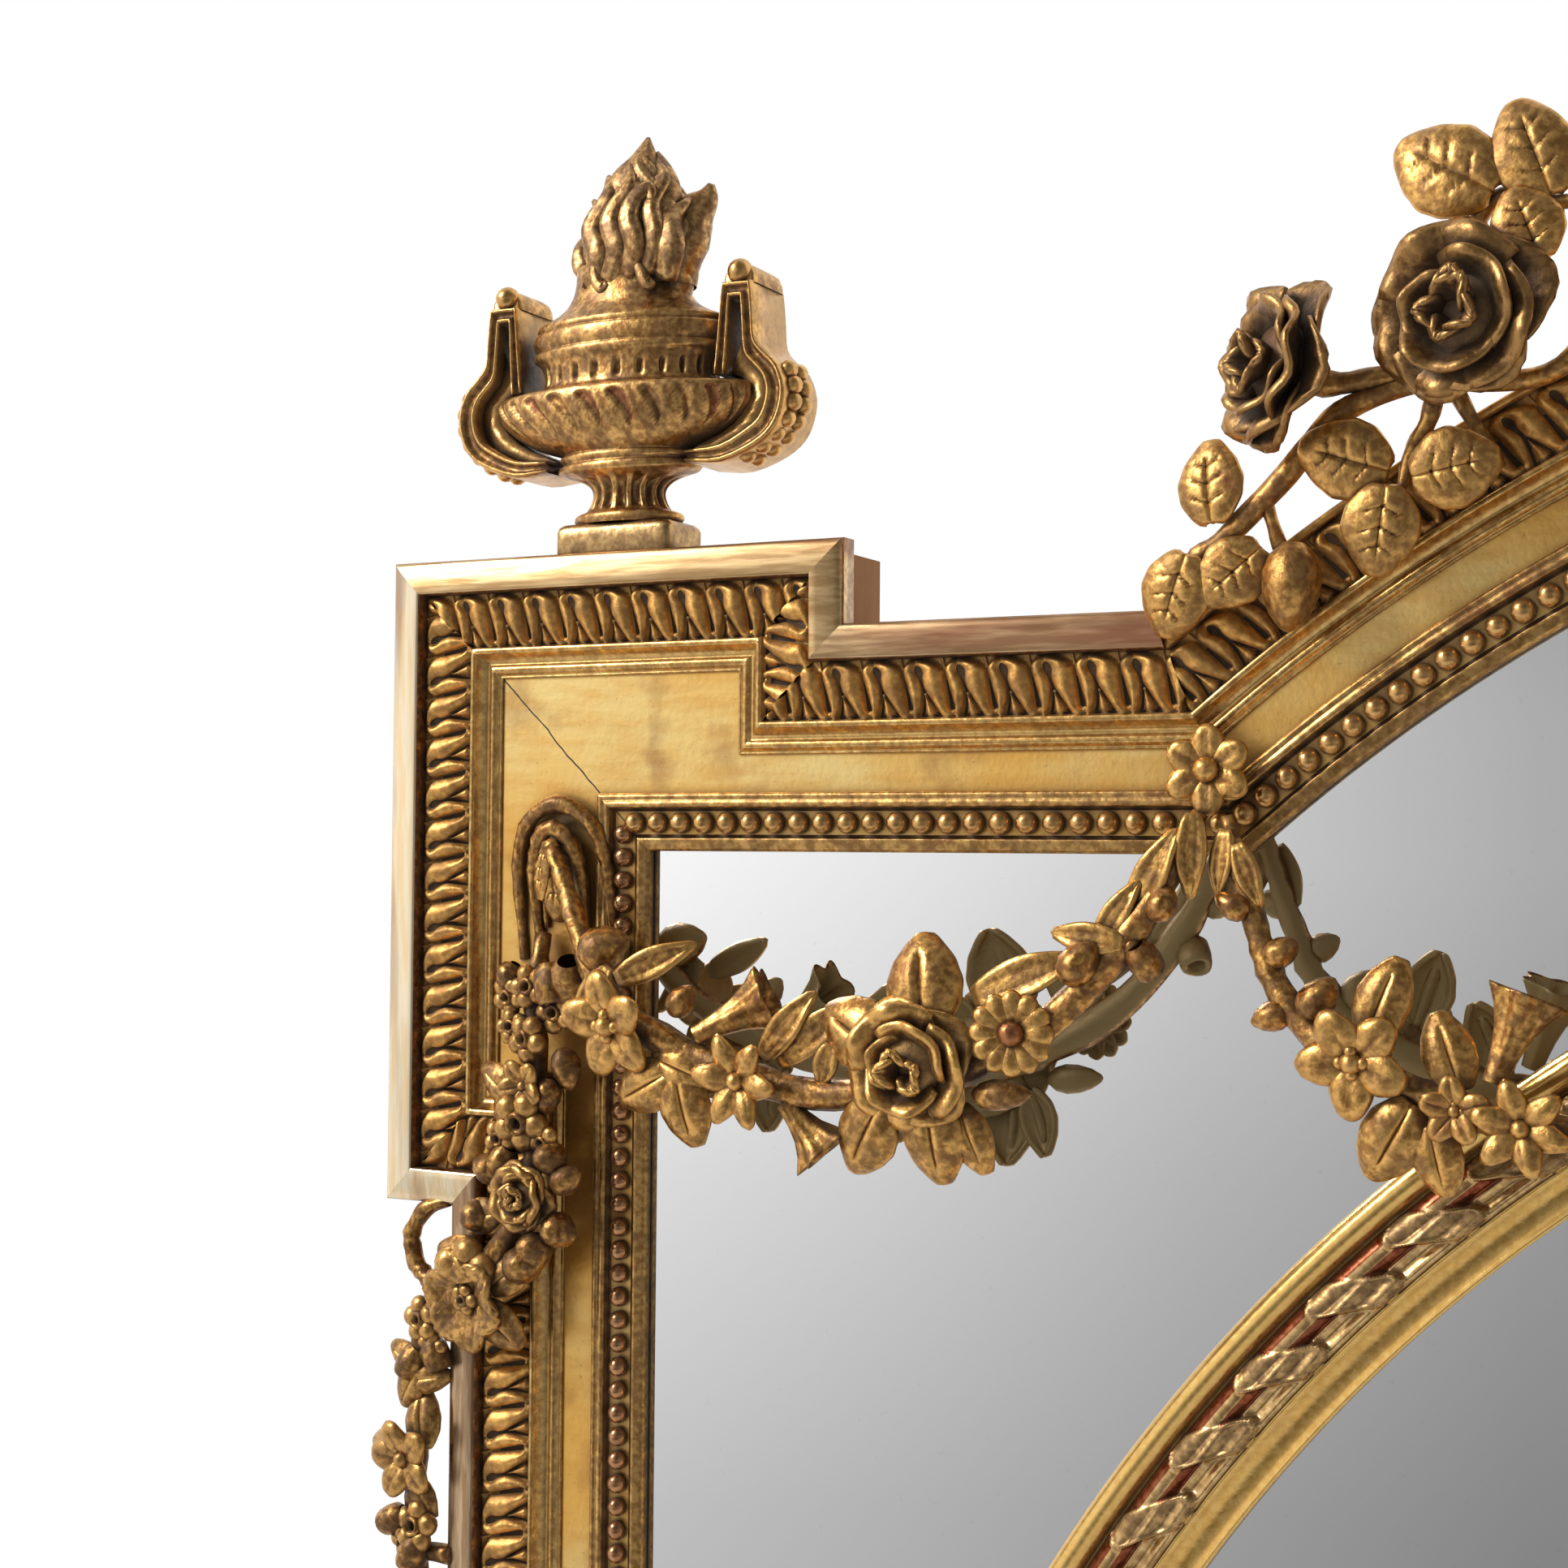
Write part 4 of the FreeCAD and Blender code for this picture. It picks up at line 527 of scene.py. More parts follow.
for node, runs, rim in (
    ("rim_moulding_left", ("side",), True),
    ("rim_moulding_ear_left", ("foot", "flank", "head", "return"), True),
    ("rim_moulding_top_left", ("shoulder",), True),
    ("rim_moulding_bottom", ("low",), True),
    ("rim_moulding_arch", ("arch",), False),
):
    points, faces, choice = moulding(runs, rim)
    fit(node, node.replace("moulding", "carving"), points, faces, rim_finishes, choice)

# Sight mouldings: a thin gilt strip next the glass, with a fillet, a lip and a hollow for pearls.
# The lip laps over the glass and keeps it in the rebate.
# The pearls are turned on the strip and their gilding has darkened to bronze.
PEARL_RADIUS = 3.95
PEARL_PITCH = {"side": 8.4, "shoulder": 9.6, "low": 9.6, "arch": 9.6}
PEARL_REACH = 10.2
PEARL_RISE = 1.3
SIDE_PEARL = 0.9
SIGHT_STEP = 40.0
SIGHT_BENT_STEP = 9.0
PEARL_PICK = 1
HOLLOW_PICK = 2
SIDE_PEARL_PICK = 3

sight_gold = gilding(
    "sight_gold", (0.92, 0.56, 0.19), (0.52, 0.27, 0.085), 0.22, 0.3, 0.45, 0.97, 0.0065, tooth=0.00025,
)
pearl_gold = gilding(
    "pearl_gold", (0.84, 0.48, 0.17), (0.4, 0.19, 0.068), 0.2, 0.4, 0.55, 1.0, 0.008, tooth=0.0002,
)
# Painted shade: the hollow that holds the pearls is laid in a dark brown gilding.
hollow_shade_brown = gilding(
    "hollow_shade_brown", (0.4, 0.22, 0.085), (0.15, 0.085, 0.04), 0.32, 0.15, 0.75, 1.0, 0.009,
)
pearl_brown = gilding(
    "pearl_brown", (0.58, 0.3, 0.14), (0.24, 0.095, 0.048), 0.16, 0.7, 0.5, 1.0, 0.008, tooth=0.0002,
)

SIGHT_LINE = np.array([
    (6.0, -3.6), (0.4, -3.6), (0.0, -3.2), (0.0, -0.2), (0.4, 0.4), (1.4, 0.8), (3.4, 1.2), (4.3, 1.5),
    (4.7, 1.3), (5.0, 0.5), (6.4, -0.4), (10.2, -0.9), (14.0, -0.3), (15.3, 0.8), (15.6, 2.4),
    (15.9, 3.2), (16.8, 3.5), (18.2, 3.2), (18.6, 2.7), (19.0, 3.3), (20.2, 3.3), (20.8, 2.8),
    (21.0, 1.6), (21.0, 0.0),
])
HOLLOW_ROWS = range(8, 13)
SIGHT_LENGTHS = {
    "side": (LENGTHS["side"][0], lambda u: SIGHT_LOW - u, lambda u: SIGHT_TOP + u),
    "shoulder": (LENGTHS["shoulder"][0], lambda u: -(SIGHT_HALF + u), shoulder_end),
    "low": LENGTHS["low"],
    "arch": LENGTHS["arch"],
}


def ball(radius, rings=7, sides=12):
    """A round bead as points and faces."""
    points = [(0, 0, radius)]
    for i in range(1, rings):
        a = math.pi * i / rings
        for j in range(sides):
            b = 2 * math.pi * j / sides
            flat = radius * math.sin(a)
            points.append((flat * math.cos(b), flat * math.sin(b), radius * math.cos(a)))
    points.append((0, 0, -radius))
    last = len(points) - 1
    faces = [(0, 1 + j, 1 + (j + 1) % sides) for j in range(sides)]
    for i in range(rings - 2):
        a = 1 + i * sides
        b = a + sides
        faces += [(a + j, b + j, b + (j + 1) % sides, a + (j + 1) % sides) for j in range(sides)]
    a = last - sides
    faces += [(a + j, last, a + (j + 1) % sides) for j in range(sides)]
    return np.array(points), faces


class Cluster:
    """Many small carved bits gathered into one piece."""

    def __init__(self):
        self.points = []
        self.faces = []
        self.choice = []
        self.count = 0

    def put(self, points, faces, pick=0):
        points = np.asarray(points, float)
        self.points.append(points)
        self.faces += [tuple(corner + self.count for corner in face) for face in faces]
        self.choice += [pick] * len(faces)
        self.count += len(points)

    def fit(self, node, name, finishes, slot):
        fit(node, name, np.concatenate(self.points), self.faces, finishes, self.choice)


bead_points, bead_faces = ball(PEARL_RADIUS)
wobble = np.random.default_rng(4)
sight_finishes = [sight_gold, pearl_gold, hollow_shade_brown, pearl_brown]
for node, run in (
    ("sight_moulding_left", "side"),
    ("sight_moulding_top_left", "shoulder"),
    ("sight_moulding_bottom", "low"),
    ("sight_moulding_arch", "arch"),
):
    place, first, last = SIGHT_LENGTHS[run]
    sight = Cluster()
    step = SIGHT_BENT_STEP if run == "arch" else SIGHT_STEP
    points, faces, ways, _ = strip(place, first, last, SIGHT_LINE.T, step)
    sight.put(points, turned(faces) if run == "low" else faces)
    sight.choice = [HOLLOW_PICK if way in HOLLOW_ROWS else 0 for way in ways]
    low, high = first(PEARL_REACH), last(PEARL_REACH)
    count = int(round((high - low) / PEARL_PITCH[run]))
    for i in range(count):
        s = low + (high - low) * (i + 0.5) / count
        spot = place(np.array(s), np.array(PEARL_REACH), np.array(BOARD_FRONT + PEARL_RISE))
        stretch = (SIDE_PEARL if run == "side" else 1.0) + wobble.uniform(-0.04, 0.04, 3)
        pick = SIDE_PEARL_PICK if run == "side" else PEARL_PICK
        sight.put(bead_points * stretch + spot, bead_faces, pick)
    sight.fit(node, node.replace("moulding", "strip"), sight_finishes, "gilt_sight")

# Mirror glass: four margin plates round the oval and one oval plate inside it, silvered behind.
# The plates lie in the rebate and against the rib of the oval frame.
# The silver is old: faintly grey, with a few specks.


def silvering():
    """Old silver behind glass: bright and faintly grey, with specks."""
    coat = Finish("old_silvering")
    specks = coat.ramp(coat.noise(240, 2), (0.71, 0.0), (0.76, 1.0))
    haze = coat.noise(3, 3)
    silver = coat.blend(haze, (0.93, 0.935, 0.935), (0.955, 0.955, 0.95))
    coat.lay("Base Color", coat.blend(coat.times(specks, 0.1), silver, (0.5, 0.49, 0.46)))
    coat.lay("Metallic", 1.0)
    coat.lay("Roughness", coat.maths("MULTIPLY_ADD", haze, 0.012, 0.004))
    return coat.material


PLATES = (
    "margin_plate_upper_left",
    "margin_plate_upper_right",
    "margin_plate_lower_left",
    "margin_plate_lower_right",
    "centre_plate",
)
dress(PLATES, silvering())

# Oval frame: two half rings of carved pine on the glass, held by screws from behind.
# A burnished roll outside, a ribbon twisted round a stick in the middle, a plain scotia inside.
# The ribbon is dark gilt, and the stick shows its red ground.
OVAL_WIDE = 542.0
OVAL_HIGH = 651.0
OVAL_CENTRE = 781.0
OVAL_BASE = 26.3
RIBBON_PITCH = 35.0
STICK_MIDDLE = 19.0
STICK_HALF = 8.6
ROD_HIGH = 5.6
RIBBON_HIGH = 7.0
RIBBON_HALF = 0.29
CARVED_IN = 10.5
CARVED_OUT = 27.5
CARVED_ROWS = 35
CARVED_GROUND = 4.2
OVAL_STEPS = 1900
ROLL_PICK, RIBBON_PICK, RED_PICK, STICK_PICK = range(4)

oval_gold = gilding(
    "oval_gold", (0.95, 0.605, 0.195), (0.82, 0.475, 0.13), 0.17, 0.06, 0.08, 0.85, 0.006, tooth=0.00012,
)
ribbon_gold = gilding(
    "ribbon_gold", (0.74, 0.47, 0.19), (0.34, 0.205, 0.095), 0.26, 0.1, 0.55, 0.97, 0.005, tooth=0.0003,
)
stick_red = gilding(
    "stick_red", (0.4, 0.12, 0.05), (0.2, 0.042, 0.02), 0.12, 0.8, 0.3, 0.8, 0.0045, tooth=0.0001,
)
# Gold for the stick: real gilding on its fluted ground, and a painted highlight along the rod's crown.
stick_gold_highlight = gilding(
    "stick_gold_highlight", (0.92, 0.61, 0.27), (0.56, 0.33, 0.12), 0.14, 0.25, 0.3, 0.85, 0.0045, tooth=0.0001,
)


def ribbon_twist(along, across):
    """Height of the twisted ribbon over its stick, and which of them shows."""
    w = (across - STICK_MIDDLE) / STICK_HALF
    rod = ROD_HIGH * np.sqrt(unit(1 - ((w + 0.42) / 0.6) ** 2))
    flute = np.where(w > 0.12, 2.6 + 0.55 * np.cos(9.5 * (w - 0.16)), 0.0)
    ground = np.maximum(rod, flute * unit((1.04 - w) / 0.1))
    sway = 0.25 * w + 0.07 * np.sin(np.pi * w)
    s = np.mod(along / RIBBON_PITCH - sway, 1.0) - 0.5
    half = RIBBON_HALF * unit(1.04 - np.abs(w) ** 2.6) ** 0.5
    inside = unit((half - np.abs(s)) / 0.035)
    hem = hump(half - np.abs(s) - 0.035, 0.025)
    folds = np.cos(8.5 * w + 2.0 * s) * unit((half - np.abs(s)) / 0.12)
    drape = RIBBON_HIGH - 3.0 * w * w + hem + 0.8 * folds - 2.2 * (s + RIBBON_HALF) * (1 - 0.5 * w)
    height = ground + (np.maximum(drape, ground + 0.7) - ground) * inside
    return height * unit((1.06 - np.abs(w)) / 0.08), inside


OVAL_REACH = np.concatenate([
    [0.0, 0.0, 0.4, 1.4, 3.0, 5.0, 7.0, 8.6, 9.6, 10.2],
    np.linspace(CARVED_IN, CARVED_OUT, CARVED_ROWS),
    [27.8, 28.2, 29.0, 30.2, 32.0, 34.5, 37.0, 38.6, 39.4, 40.2, 40.5, 40.5],
])
OVAL_RISE = np.concatenate([
    [0.0, 4.6, 7.2, 9.3, 10.7, 11.0, 10.4, 9.0, 7.2, 5.6],
    np.full(CARVED_ROWS, CARVED_GROUND),
    [6.0, 6.3, 6.0, 4.6, 3.4, 2.8, 2.7, 2.9, 3.4, 3.2, 2.4, 0.0],
])


def oval_half():
    """The left half ring."""
    turns = np.linspace(math.pi, 2 * math.pi, OVAL_STEPS)
    x = OVAL_WIDE * np.sin(turns)
    z = OVAL_CENTRE + OVAL_HIGH * np.cos(turns)
    length = np.concatenate([[0], np.cumsum(np.hypot(np.diff(x), np.diff(z)))])
    inward = np.stack([-x / OVAL_WIDE**2, -(z - OVAL_CENTRE) / OVAL_HIGH**2], axis=-1)
    inward /= np.linalg.norm(inward, axis=-1, keepdims=True)
    along, across = np.meshgrid(length, OVAL_REACH, indexing="ij")
    height, ribbon = ribbon_twist(along, across)
    carved = (across >= CARVED_IN) & (across <= CARVED_OUT)
    depth = OVAL_BASE + OVAL_RISE[None, :] + np.where(carved, height, 0.0)
    points = np.stack([
        x[:, None] + inward[:, None, 0] * across,
        -depth,
        z[:, None] + inward[:, None, 1] * across,
    ], axis=-1)
    rows = len(OVAL_REACH)
    faces, choice = [], []
    for i in range(len(turns) - 1):
        for j in range(rows - 1):
            faces.append(quad(i, j, rows))
            middle = carved[i, j] and carved[i, j + 1]
            w = (OVAL_REACH[j] - STICK_MIDDLE) / STICK_HALF
            # Red on the rod's flanks; gold along its crown, laid where its highlight line runs as a painted
            # highlight, and gold on the fluted ground beyond.
            bare = RED_PICK if w < -0.62 or -0.28 < w < 0.12 else STICK_PICK
            shown = RIBBON_PICK if ribbon[i, j] > 0.4 else bare
            choice.append(shown if middle else ROLL_PICK)
    return points.reshape(-1, 3), faces, choice


points, faces, choice = oval_half()
oval_finishes = [oval_gold, ribbon_gold, stick_red, stick_gold_highlight]
fit("oval_frame_left", "oval_ring_left", points, faces, oval_finishes, choice)

# Back: pine planks behind the glass, held by glued blocks, with screws into the oval frame.
# Iron hanger plates are let into the stiles, and their rings swing free in rolled eyes.


def old_pine(name, pale, dark):
    """Bare pine gone brown, with its grain upright and a few stains."""
    coat = Finish(name)
    grain = coat.noise(20, 6, (8, 8, 0.35))
    stain = coat.noise(5, 4)
    stained = coat.ramp(stain, (0.45, 0.0), (0.75, 0.6))
    coat.lay("Base Color", coat.blend(stained, coat.blend(grain, pale, dark), (0.13, 0.085, 0.05)))
    coat.lay("Roughness", coat.maths("MULTIPLY_ADD", grain, 0.2, 0.6))
    coat.bump(grain, 0.0006, 0.6)
    return coat.material


def dark_iron(name, bare, rust, rough):
    """Iron with a skin of rust in patches."""
    coat = Finish(name)
    rusting = coat.ramp(coat.noise(120, 5), (0.45, 0.0), (0.62, 1.0))
    coat.lay("Base Color", coat.blend(rusting, bare, rust))
    coat.lay("Metallic", coat.maths("SUBTRACT", 1.0, coat.times(rusting, 0.7)))
    coat.lay("Roughness", coat.maths("MULTIPLY_ADD", rusting, 0.3, rough))
    coat.bump(coat.noise(500, 4), 0.0002, 0.5)
    return coat.material


dress(("back_board_left",), old_pine("pine_left", (0.42, 0.27, 0.14), (0.24, 0.13, 0.06)))
dress(("back_board_centre",), old_pine("pine_centre", (0.35, 0.22, 0.11), (0.19, 0.1, 0.045)))
dress(("back_board_right",), old_pine("pine_right", (0.45, 0.3, 0.165), (0.27, 0.155, 0.075)))
dress(("glazing_blocks",), old_pine("pine_blocks", (0.5, 0.35, 0.2), (0.32, 0.19, 0.1)))
hanger_iron = dark_iron("hanger_iron", (0.11, 0.1, 0.095), (0.14, 0.065, 0.03), 0.45)
dress(("hanger_plate_left", "hanger_plate_right", "hanging_ring_left", "hanging_ring_right"), hanger_iron)
dress(
    ("oval_screws", "hanger_screws"),
    dark_iron("screw_steel", (0.36, 0.34, 0.31), (0.18, 0.1, 0.05), 0.35),
)

# Urns: a flaming vase of gilt limewood on each ear, glued to its plinth and flat towards the wall.
# The vase is turned, then flattened; its bowl is cut with leaning darts and its stem with scooped flutes.
# The flame is a second block, carved as curling tongues; the strap handles are bent round and pinned.
URN_X = -606.5
URN_OUT = 24.0
EAR_TOP = 1512.0
PLINTH_HIGH = 11.4
PLINTH_HALF = 24.5
PLINTH_DEEP = 13.0
URN_FOOT = EAR_TOP + PLINTH_HIGH
BOWL_HALF = 57.0
VASE_LINE = [
    (21.0, 0.0), (22.2, 1.2), (22.0, 2.8), (20.2, 3.8), (17.6, 4.6), (16.0, 6.2), (14.8, 8.6),
    (14.3, 11.0), (15.0, 13.4), (17.6, 15.6), (21.8, 17.4), (26.2, 18.6), (28.6, 19.2), (29.6, 20.4),
    (29.0, 21.8), (27.4, 22.4), (27.6, 23.2), (28.8, 24.0), (28.6, 25.4), (27.4, 26.2), (30.0, 27.0),
    (35.0, 28.4), (40.0, 30.2), (44.5, 32.4), (48.5, 34.8), (52.0, 37.6), (54.6, 40.2), (56.3, 42.8),
    (57.0, 45.0), (56.6, 46.8), (55.2, 48.2), (53.0, 48.8), (47.0, 49.5), (41.0, 50.2), (37.6, 51.0),
    (36.4, 53.2), (36.2, 55.2), (36.5, 57.4), (37.2, 59.6), (38.6, 61.4), (40.2, 62.4), (40.8, 63.6),
    (40.2, 64.8), (39.2, 65.3), (39.8, 66.2), (40.9, 67.6), (41.2, 69.4), (40.7, 71.2), (39.6, 72.2),
    (38.7, 72.6), (39.4, 73.4), (39.2, 74.6), (37.6, 75.5), (34.4, 76.8), (30.6, 78.6), (27.2, 81.0),
    (24.8, 84.0), (23.4, 87.0), (22.6, 91.0), (22.6, 96.0),
]
FLAME_LINE = [
    (21.0, 0.0), (22.5, 6.0), (24.5, 14.0), (24.0, 23.0), (19.5, 31.0), (13.5, 39.0), (8.0, 46.0),
    (0.5, 53.0),
]
DARTS = 26
FLUTES = 16
NOTCHES = 24
DART_DEEP = 1.9
LIP_HIGH = 0.35
FLUTE_DEEP = 2.6
NOTCH_DEEP = 2.4
VASE_SIDES = 312
FLAME_SIDES = 132
PLINTH_SIDES = 64
PLINTH_CORNER = 0.16
PLINTH_LINE = ((0.3, 0.0), (0.0, 0.6), (0.0, 8.4), (0.5, 9.9), (1.8, 11.0), (3.6, 11.4), (14.0, 11.5))

urn_gold = gilding(
    "urn_gold", (0.84, 0.485, 0.165), (0.38, 0.175, 0.056), 0.23, 0.45, 0.62, 0.97, 0.014, tooth=0.0003,
)
flame_gold = gilding(
    "flame_gold", (0.82, 0.5, 0.2), (0.36, 0.185, 0.072), 0.25, 0.4, 0.6, 1.0, 0.01, tooth=0.0003,
)
plinth_gold = gilding(
    "plinth_gold", (0.66, 0.42, 0.18), (0.36, 0.19, 0.075), 0.2, 0.55, 0.7, 0.9, 0.01, tooth=0.0002,
)
bole_worn = gilding("bole_worn", (0.52, 0.22, 0.09), (0.28, 0.085, 0.035), 0.26, 0.75, 0.4, 0.9, 0.008)


def circle(sides):
    """Even turns about a full circle."""
    return np.linspace(0, 2 * np.pi, sides, endpoint=False)


def smooth_line(points, pieces):
    """Points along a smooth curve through given points."""
    points = np.asarray(points, float)
    padded = np.concatenate([[2 * points[0] - points[1]], points, [2 * points[-1] - points[-2]]])
    made = []
    for i in range(len(points) - 1):
        a, b, c, d = padded[i : i + 4]
        for k in range(pieces):
            u = k / pieces
            bent_out = (2 * a - 5 * b + 4 * c - d) * u**2
            bent_back = (3 * b - a - 3 * c + d) * u**3
            made.append(0.5 * (2 * b + (c - a) * u + bent_out + bent_back))
    made.append(points[-1])
    return np.array(made)


def ring_faces(rows, sides):
    """Faces between rings of points stacked one on another."""
    return [
        (i * sides + j, i * sides + (j + 1) % sides, (i + 1) * sides + (j + 1) % sides, (i + 1) * sides + j)
        for i in range(rows - 1)
        for j in range(sides)
    ]


BOWL_LOW = 33.0
BOWL_TOP = 46.4
BOWL_RISE = 12.5
DART_LOW = 34
DART_TOP = 46
DART_LEAN = 0.055
STEM_LOW = 5.0
STEM_TOP = 17.2
NECK_LOW = 52.6
NECK_TOP = 58.6


def cell(turn, count):
    """Number of the cut round the vase, and the way across it from its middle."""
    place = turn * count / (2 * np.pi)
    return np.floor(place), place - np.floor(place) - 0.5


def vase_relief(turn, height):
    """How far the chisel went in, and where the bole shows."""
    share = unit((height - BOWL_LOW) / BOWL_RISE)
    lean = (DART_TOP - height) * DART_LEAN * 2 * np.pi / DARTS
    number, off = cell(turn - lean, DARTS)
    off = np.abs(off)
    width = 0.3 * share**0.9 * unit((BOWL_TOP - height) / 1.2) ** 0.5
    hollow = unit(1 - (off / np.maximum(width, 0.01)) ** 2)
    hollow = hollow * (height > BOWL_LOW) * (height < BOWL_TOP)
    lip = hump(off - width - 0.05, 0.05) * (height > DART_LOW) * (height < DART_TOP)
    scoop = np.sqrt(unit(1 - (cell(turn, FLUTES)[1] / 0.34) ** 2))
    scoop = scoop * unit((height - STEM_LOW) / 1.5)
    scoop = scoop * unit((STEM_TOP - height) / 2.2) ** 0.5
    slot = unit(1 - (cell(turn, NOTCHES)[1] / 0.15) ** 2)
    slot = slot * unit((height - NECK_LOW) / 0.8) * unit((NECK_TOP - height) / 0.8)
    depth = DART_DEEP * hollow - LIP_HIGH * lip + FLUTE_DEEP * scoop + NOTCH_DEEP * slot
    return depth, (hollow > 0.35) & (np.mod(number * 7, 5) < 2)


def vase(line, sides, relief):
    """A turned shape flattened towards the wall."""
    turn = circle(sides)
    half, height = line[:, 0][:, None], line[:, 1][:, None]
    turns = np.broadcast_to(turn[None, :], (len(line), sides))
    heights = np.broadcast_to(height, turns.shape)
    depth, red = relief(turns, heights)
    deep = URN_OUT * (np.maximum(half, 0.01) / BOWL_HALF) ** 0.6
    wide = np.maximum(half - depth, 0.3)
    deep = np.maximum(deep - depth * 0.8, 0.3)
    points = np.stack([wide * np.sin(turns), -deep * np.cos(turns), heights + 0 * wide], axis=-1)
    faces = ring_faces(len(line), sides)
    choice = [int(red[i, j]) for i in range(len(line) - 1) for j in range(sides)]
    return points.reshape(-1, 3), faces, choice


points, faces, choice = vase(smooth_line(VASE_LINE, 2), VASE_SIDES, vase_relief)
points = points + (URN_X, -URN_OUT, URN_FOOT)
fit("urn_body_left", "urn_vase_left", points, faces, [urn_gold, bole_worn], choice)

plinth_block = Cluster()
corner = circle(PLINTH_SIDES)
square_x = np.sign(np.sin(corner)) * np.abs(np.sin(corner)) ** PLINTH_CORNER
square_y = np.sign(np.cos(corner)) * np.abs(np.cos(corner)) ** PLINTH_CORNER
rings = []
for inset, rise in PLINTH_LINE:
    across = URN_X + (PLINTH_HALF - inset) * square_x
    out = -URN_OUT - (PLINTH_DEEP - inset) * square_y
    rings.append(np.stack([across, out, EAR_TOP + rise + 0 * corner], axis=-1))
plinth_block.put(np.concatenate(rings), ring_faces(len(rings), len(corner)))
plinth_block.fit("urn_plinth_left", "urn_block_left", [plinth_gold], "gilt_urn")

TONGUE_SIDES = 14
TONGUE_GROOVE = 0.22


def taper(line, widths):
    """Widths along a line, between those given."""
    return np.interp(np.linspace(0, 1, len(line)), np.linspace(0, 1, len(widths)), widths)


def sweep(line, width, up, across, outward):
    """A closed rod along a line, with a section given as shares of its width."""
    heading = np.gradient(line, axis=0)
    heading /= np.linalg.norm(heading, axis=1, keepdims=True) + 1e-9
    side = np.cross(heading, up)
    side /= np.linalg.norm(side, axis=1, keepdims=True) + 1e-9
    out = np.cross(side, heading)
    section = side[:, None, :] * across[None, :, None] + out[:, None, :] * outward[None, :, None]
    spots = (line[:, None, :] + width[:, :, None] * section).reshape(-1, 3)
    sides = len(across)
    ends = [tuple(reversed(range(sides))), tuple(range(len(spots) - sides, len(spots)))]
    return spots, ring_faces(len(line), sides) + ends


def tongue(path, widths, thick):
    """A tapering, grooved tongue along a path of (across, up, out) points."""
    line = smooth_line(path, 5)
    turn = circle(TONGUE_SIDES)
    carved = 1 - TONGUE_GROOVE * (0.5 + 0.5 * np.cos(4 * turn))
    return sweep(line, taper(line, widths)[:, None], (0, 0, 1), np.cos(turn), thick * np.sin(turn) * carved)


FLAME_X = -601.0
FLAME_FOOT = URN_FOOT + 87.0
TONGUES = (
    (
        [(0, -4, 0), (-4, 10, 2), (0, 24, 3), (-4, 35, 3), (0, 46, 2), (1, 57, 0)],
        [14, 15, 15, 12, 7.5, 0.8], 0.72,
    ),
    (
        [(9, -4, 0), (12, 8, 1), (16, 18, 0), (20, 26, -1), (25, 32, -2), (27, 37, -2)],
        [10, 11, 11.5, 9, 5, 1.4], 0.8,
    ),
    (
        [(-10, -3, -1), (-15, 8, -1), (-18, 18, -1), (-17, 28, -2), (-24, 37, -2)],
        [10, 10.5, 9, 5.5, 0.9], 0.9,
    ),
    ([(-19, 4, 2), (-25, 11, 3), (-27, 17, 2), (-28, 22, 0)], [4.0, 4.4, 3.0, 0.8], 0.9),
    (
        [(6, 0, 4), (9, 12, 6), (7, 24, 6), (10, 34, 4), (8, 43, 2), (5, 51, 0)],
        [8, 10, 9.5, 7.5, 4.5, 0.8], 0.8,
    ),
    (
        [(-17, 0, 9), (-12, 11, 12), (-16, 22, 11), (-10, 33, 10), (-13, 43, 5)],
        [4.6, 5.2, 4.6, 3.6, 0.9], 0.8,
    ),
    ([(-9, 1, 11), (-3, 12, 14), (-7, 24, 13), (-1, 36, 10), (-4, 48, 5)], [4.2, 5.0, 4.4, 3.4, 0.9], 0.8),
    (
        [(0, 3, 12), (5, 13, 15), (2, 23, 15), (4, 31, 13), (8.5, 34, 11.5), (10, 29, 12)],
        [3.8, 4.6, 4.2, 3.4, 2.8, 1.8], 0.85,
    ),
    ([(14, 1, 9), (18, 12, 11.5), (16, 22, 9), (21, 31, 3)], [5.0, 5.6, 4.8, 1.2], 0.8),
    ([(8, 3, 12), (12, 16, 13), (9, 28, 11), (12, 38, 7), (8, 46, 4)], [3.4, 4.2, 3.8, 3.0, 0.9], 0.85),
    ([(-14, 10, 13), (-13, 3, 13), (-10, -1, 13), (-7.5, 0.5, 13)], [1.6, 2.3, 2.6, 1.6], 1.0),
    ([(4, 10, 14), (7, 3, 14), (9.5, -1.5, 13.5), (11.5, 0, 13)], [1.6, 2.3, 2.6, 1.6], 1.0),
)
STRANDS = 11
STRAND_DEEP = 3.4
flame = Cluster()


def flame_relief(turn, height):
    """Waving grooves between the strands of the fire."""
    strand = STRANDS * turn / (2 * np.pi) + 0.62 * np.sin(height / 6.5) + 0.02 * height
    groove = np.abs(2 * (strand - np.floor(strand)) - 1)
    fade = unit(height / 9) * unit((54 - height) / 22)
    return STRAND_DEEP * groove**2.2 * fade, np.zeros(turn.shape, bool)


core_points, core_faces, _ = vase(smooth_line(FLAME_LINE, 4), FLAME_SIDES, flame_relief)
flame.put(core_points + (FLAME_X, -URN_OUT, FLAME_FOOT), core_faces)
for path, widths, thick in TONGUES:
    spots, faces = tongue(path, widths, thick)
    spots = np.stack([FLAME_X + spots[:, 0], -(URN_OUT + spots[:, 2]), FLAME_FOOT + spots[:, 1]], axis=-1)
    flame.put(spots, faces)
flame.fit("urn_flame_left", "urn_fire_left", [flame_gold], "gilt_urn")

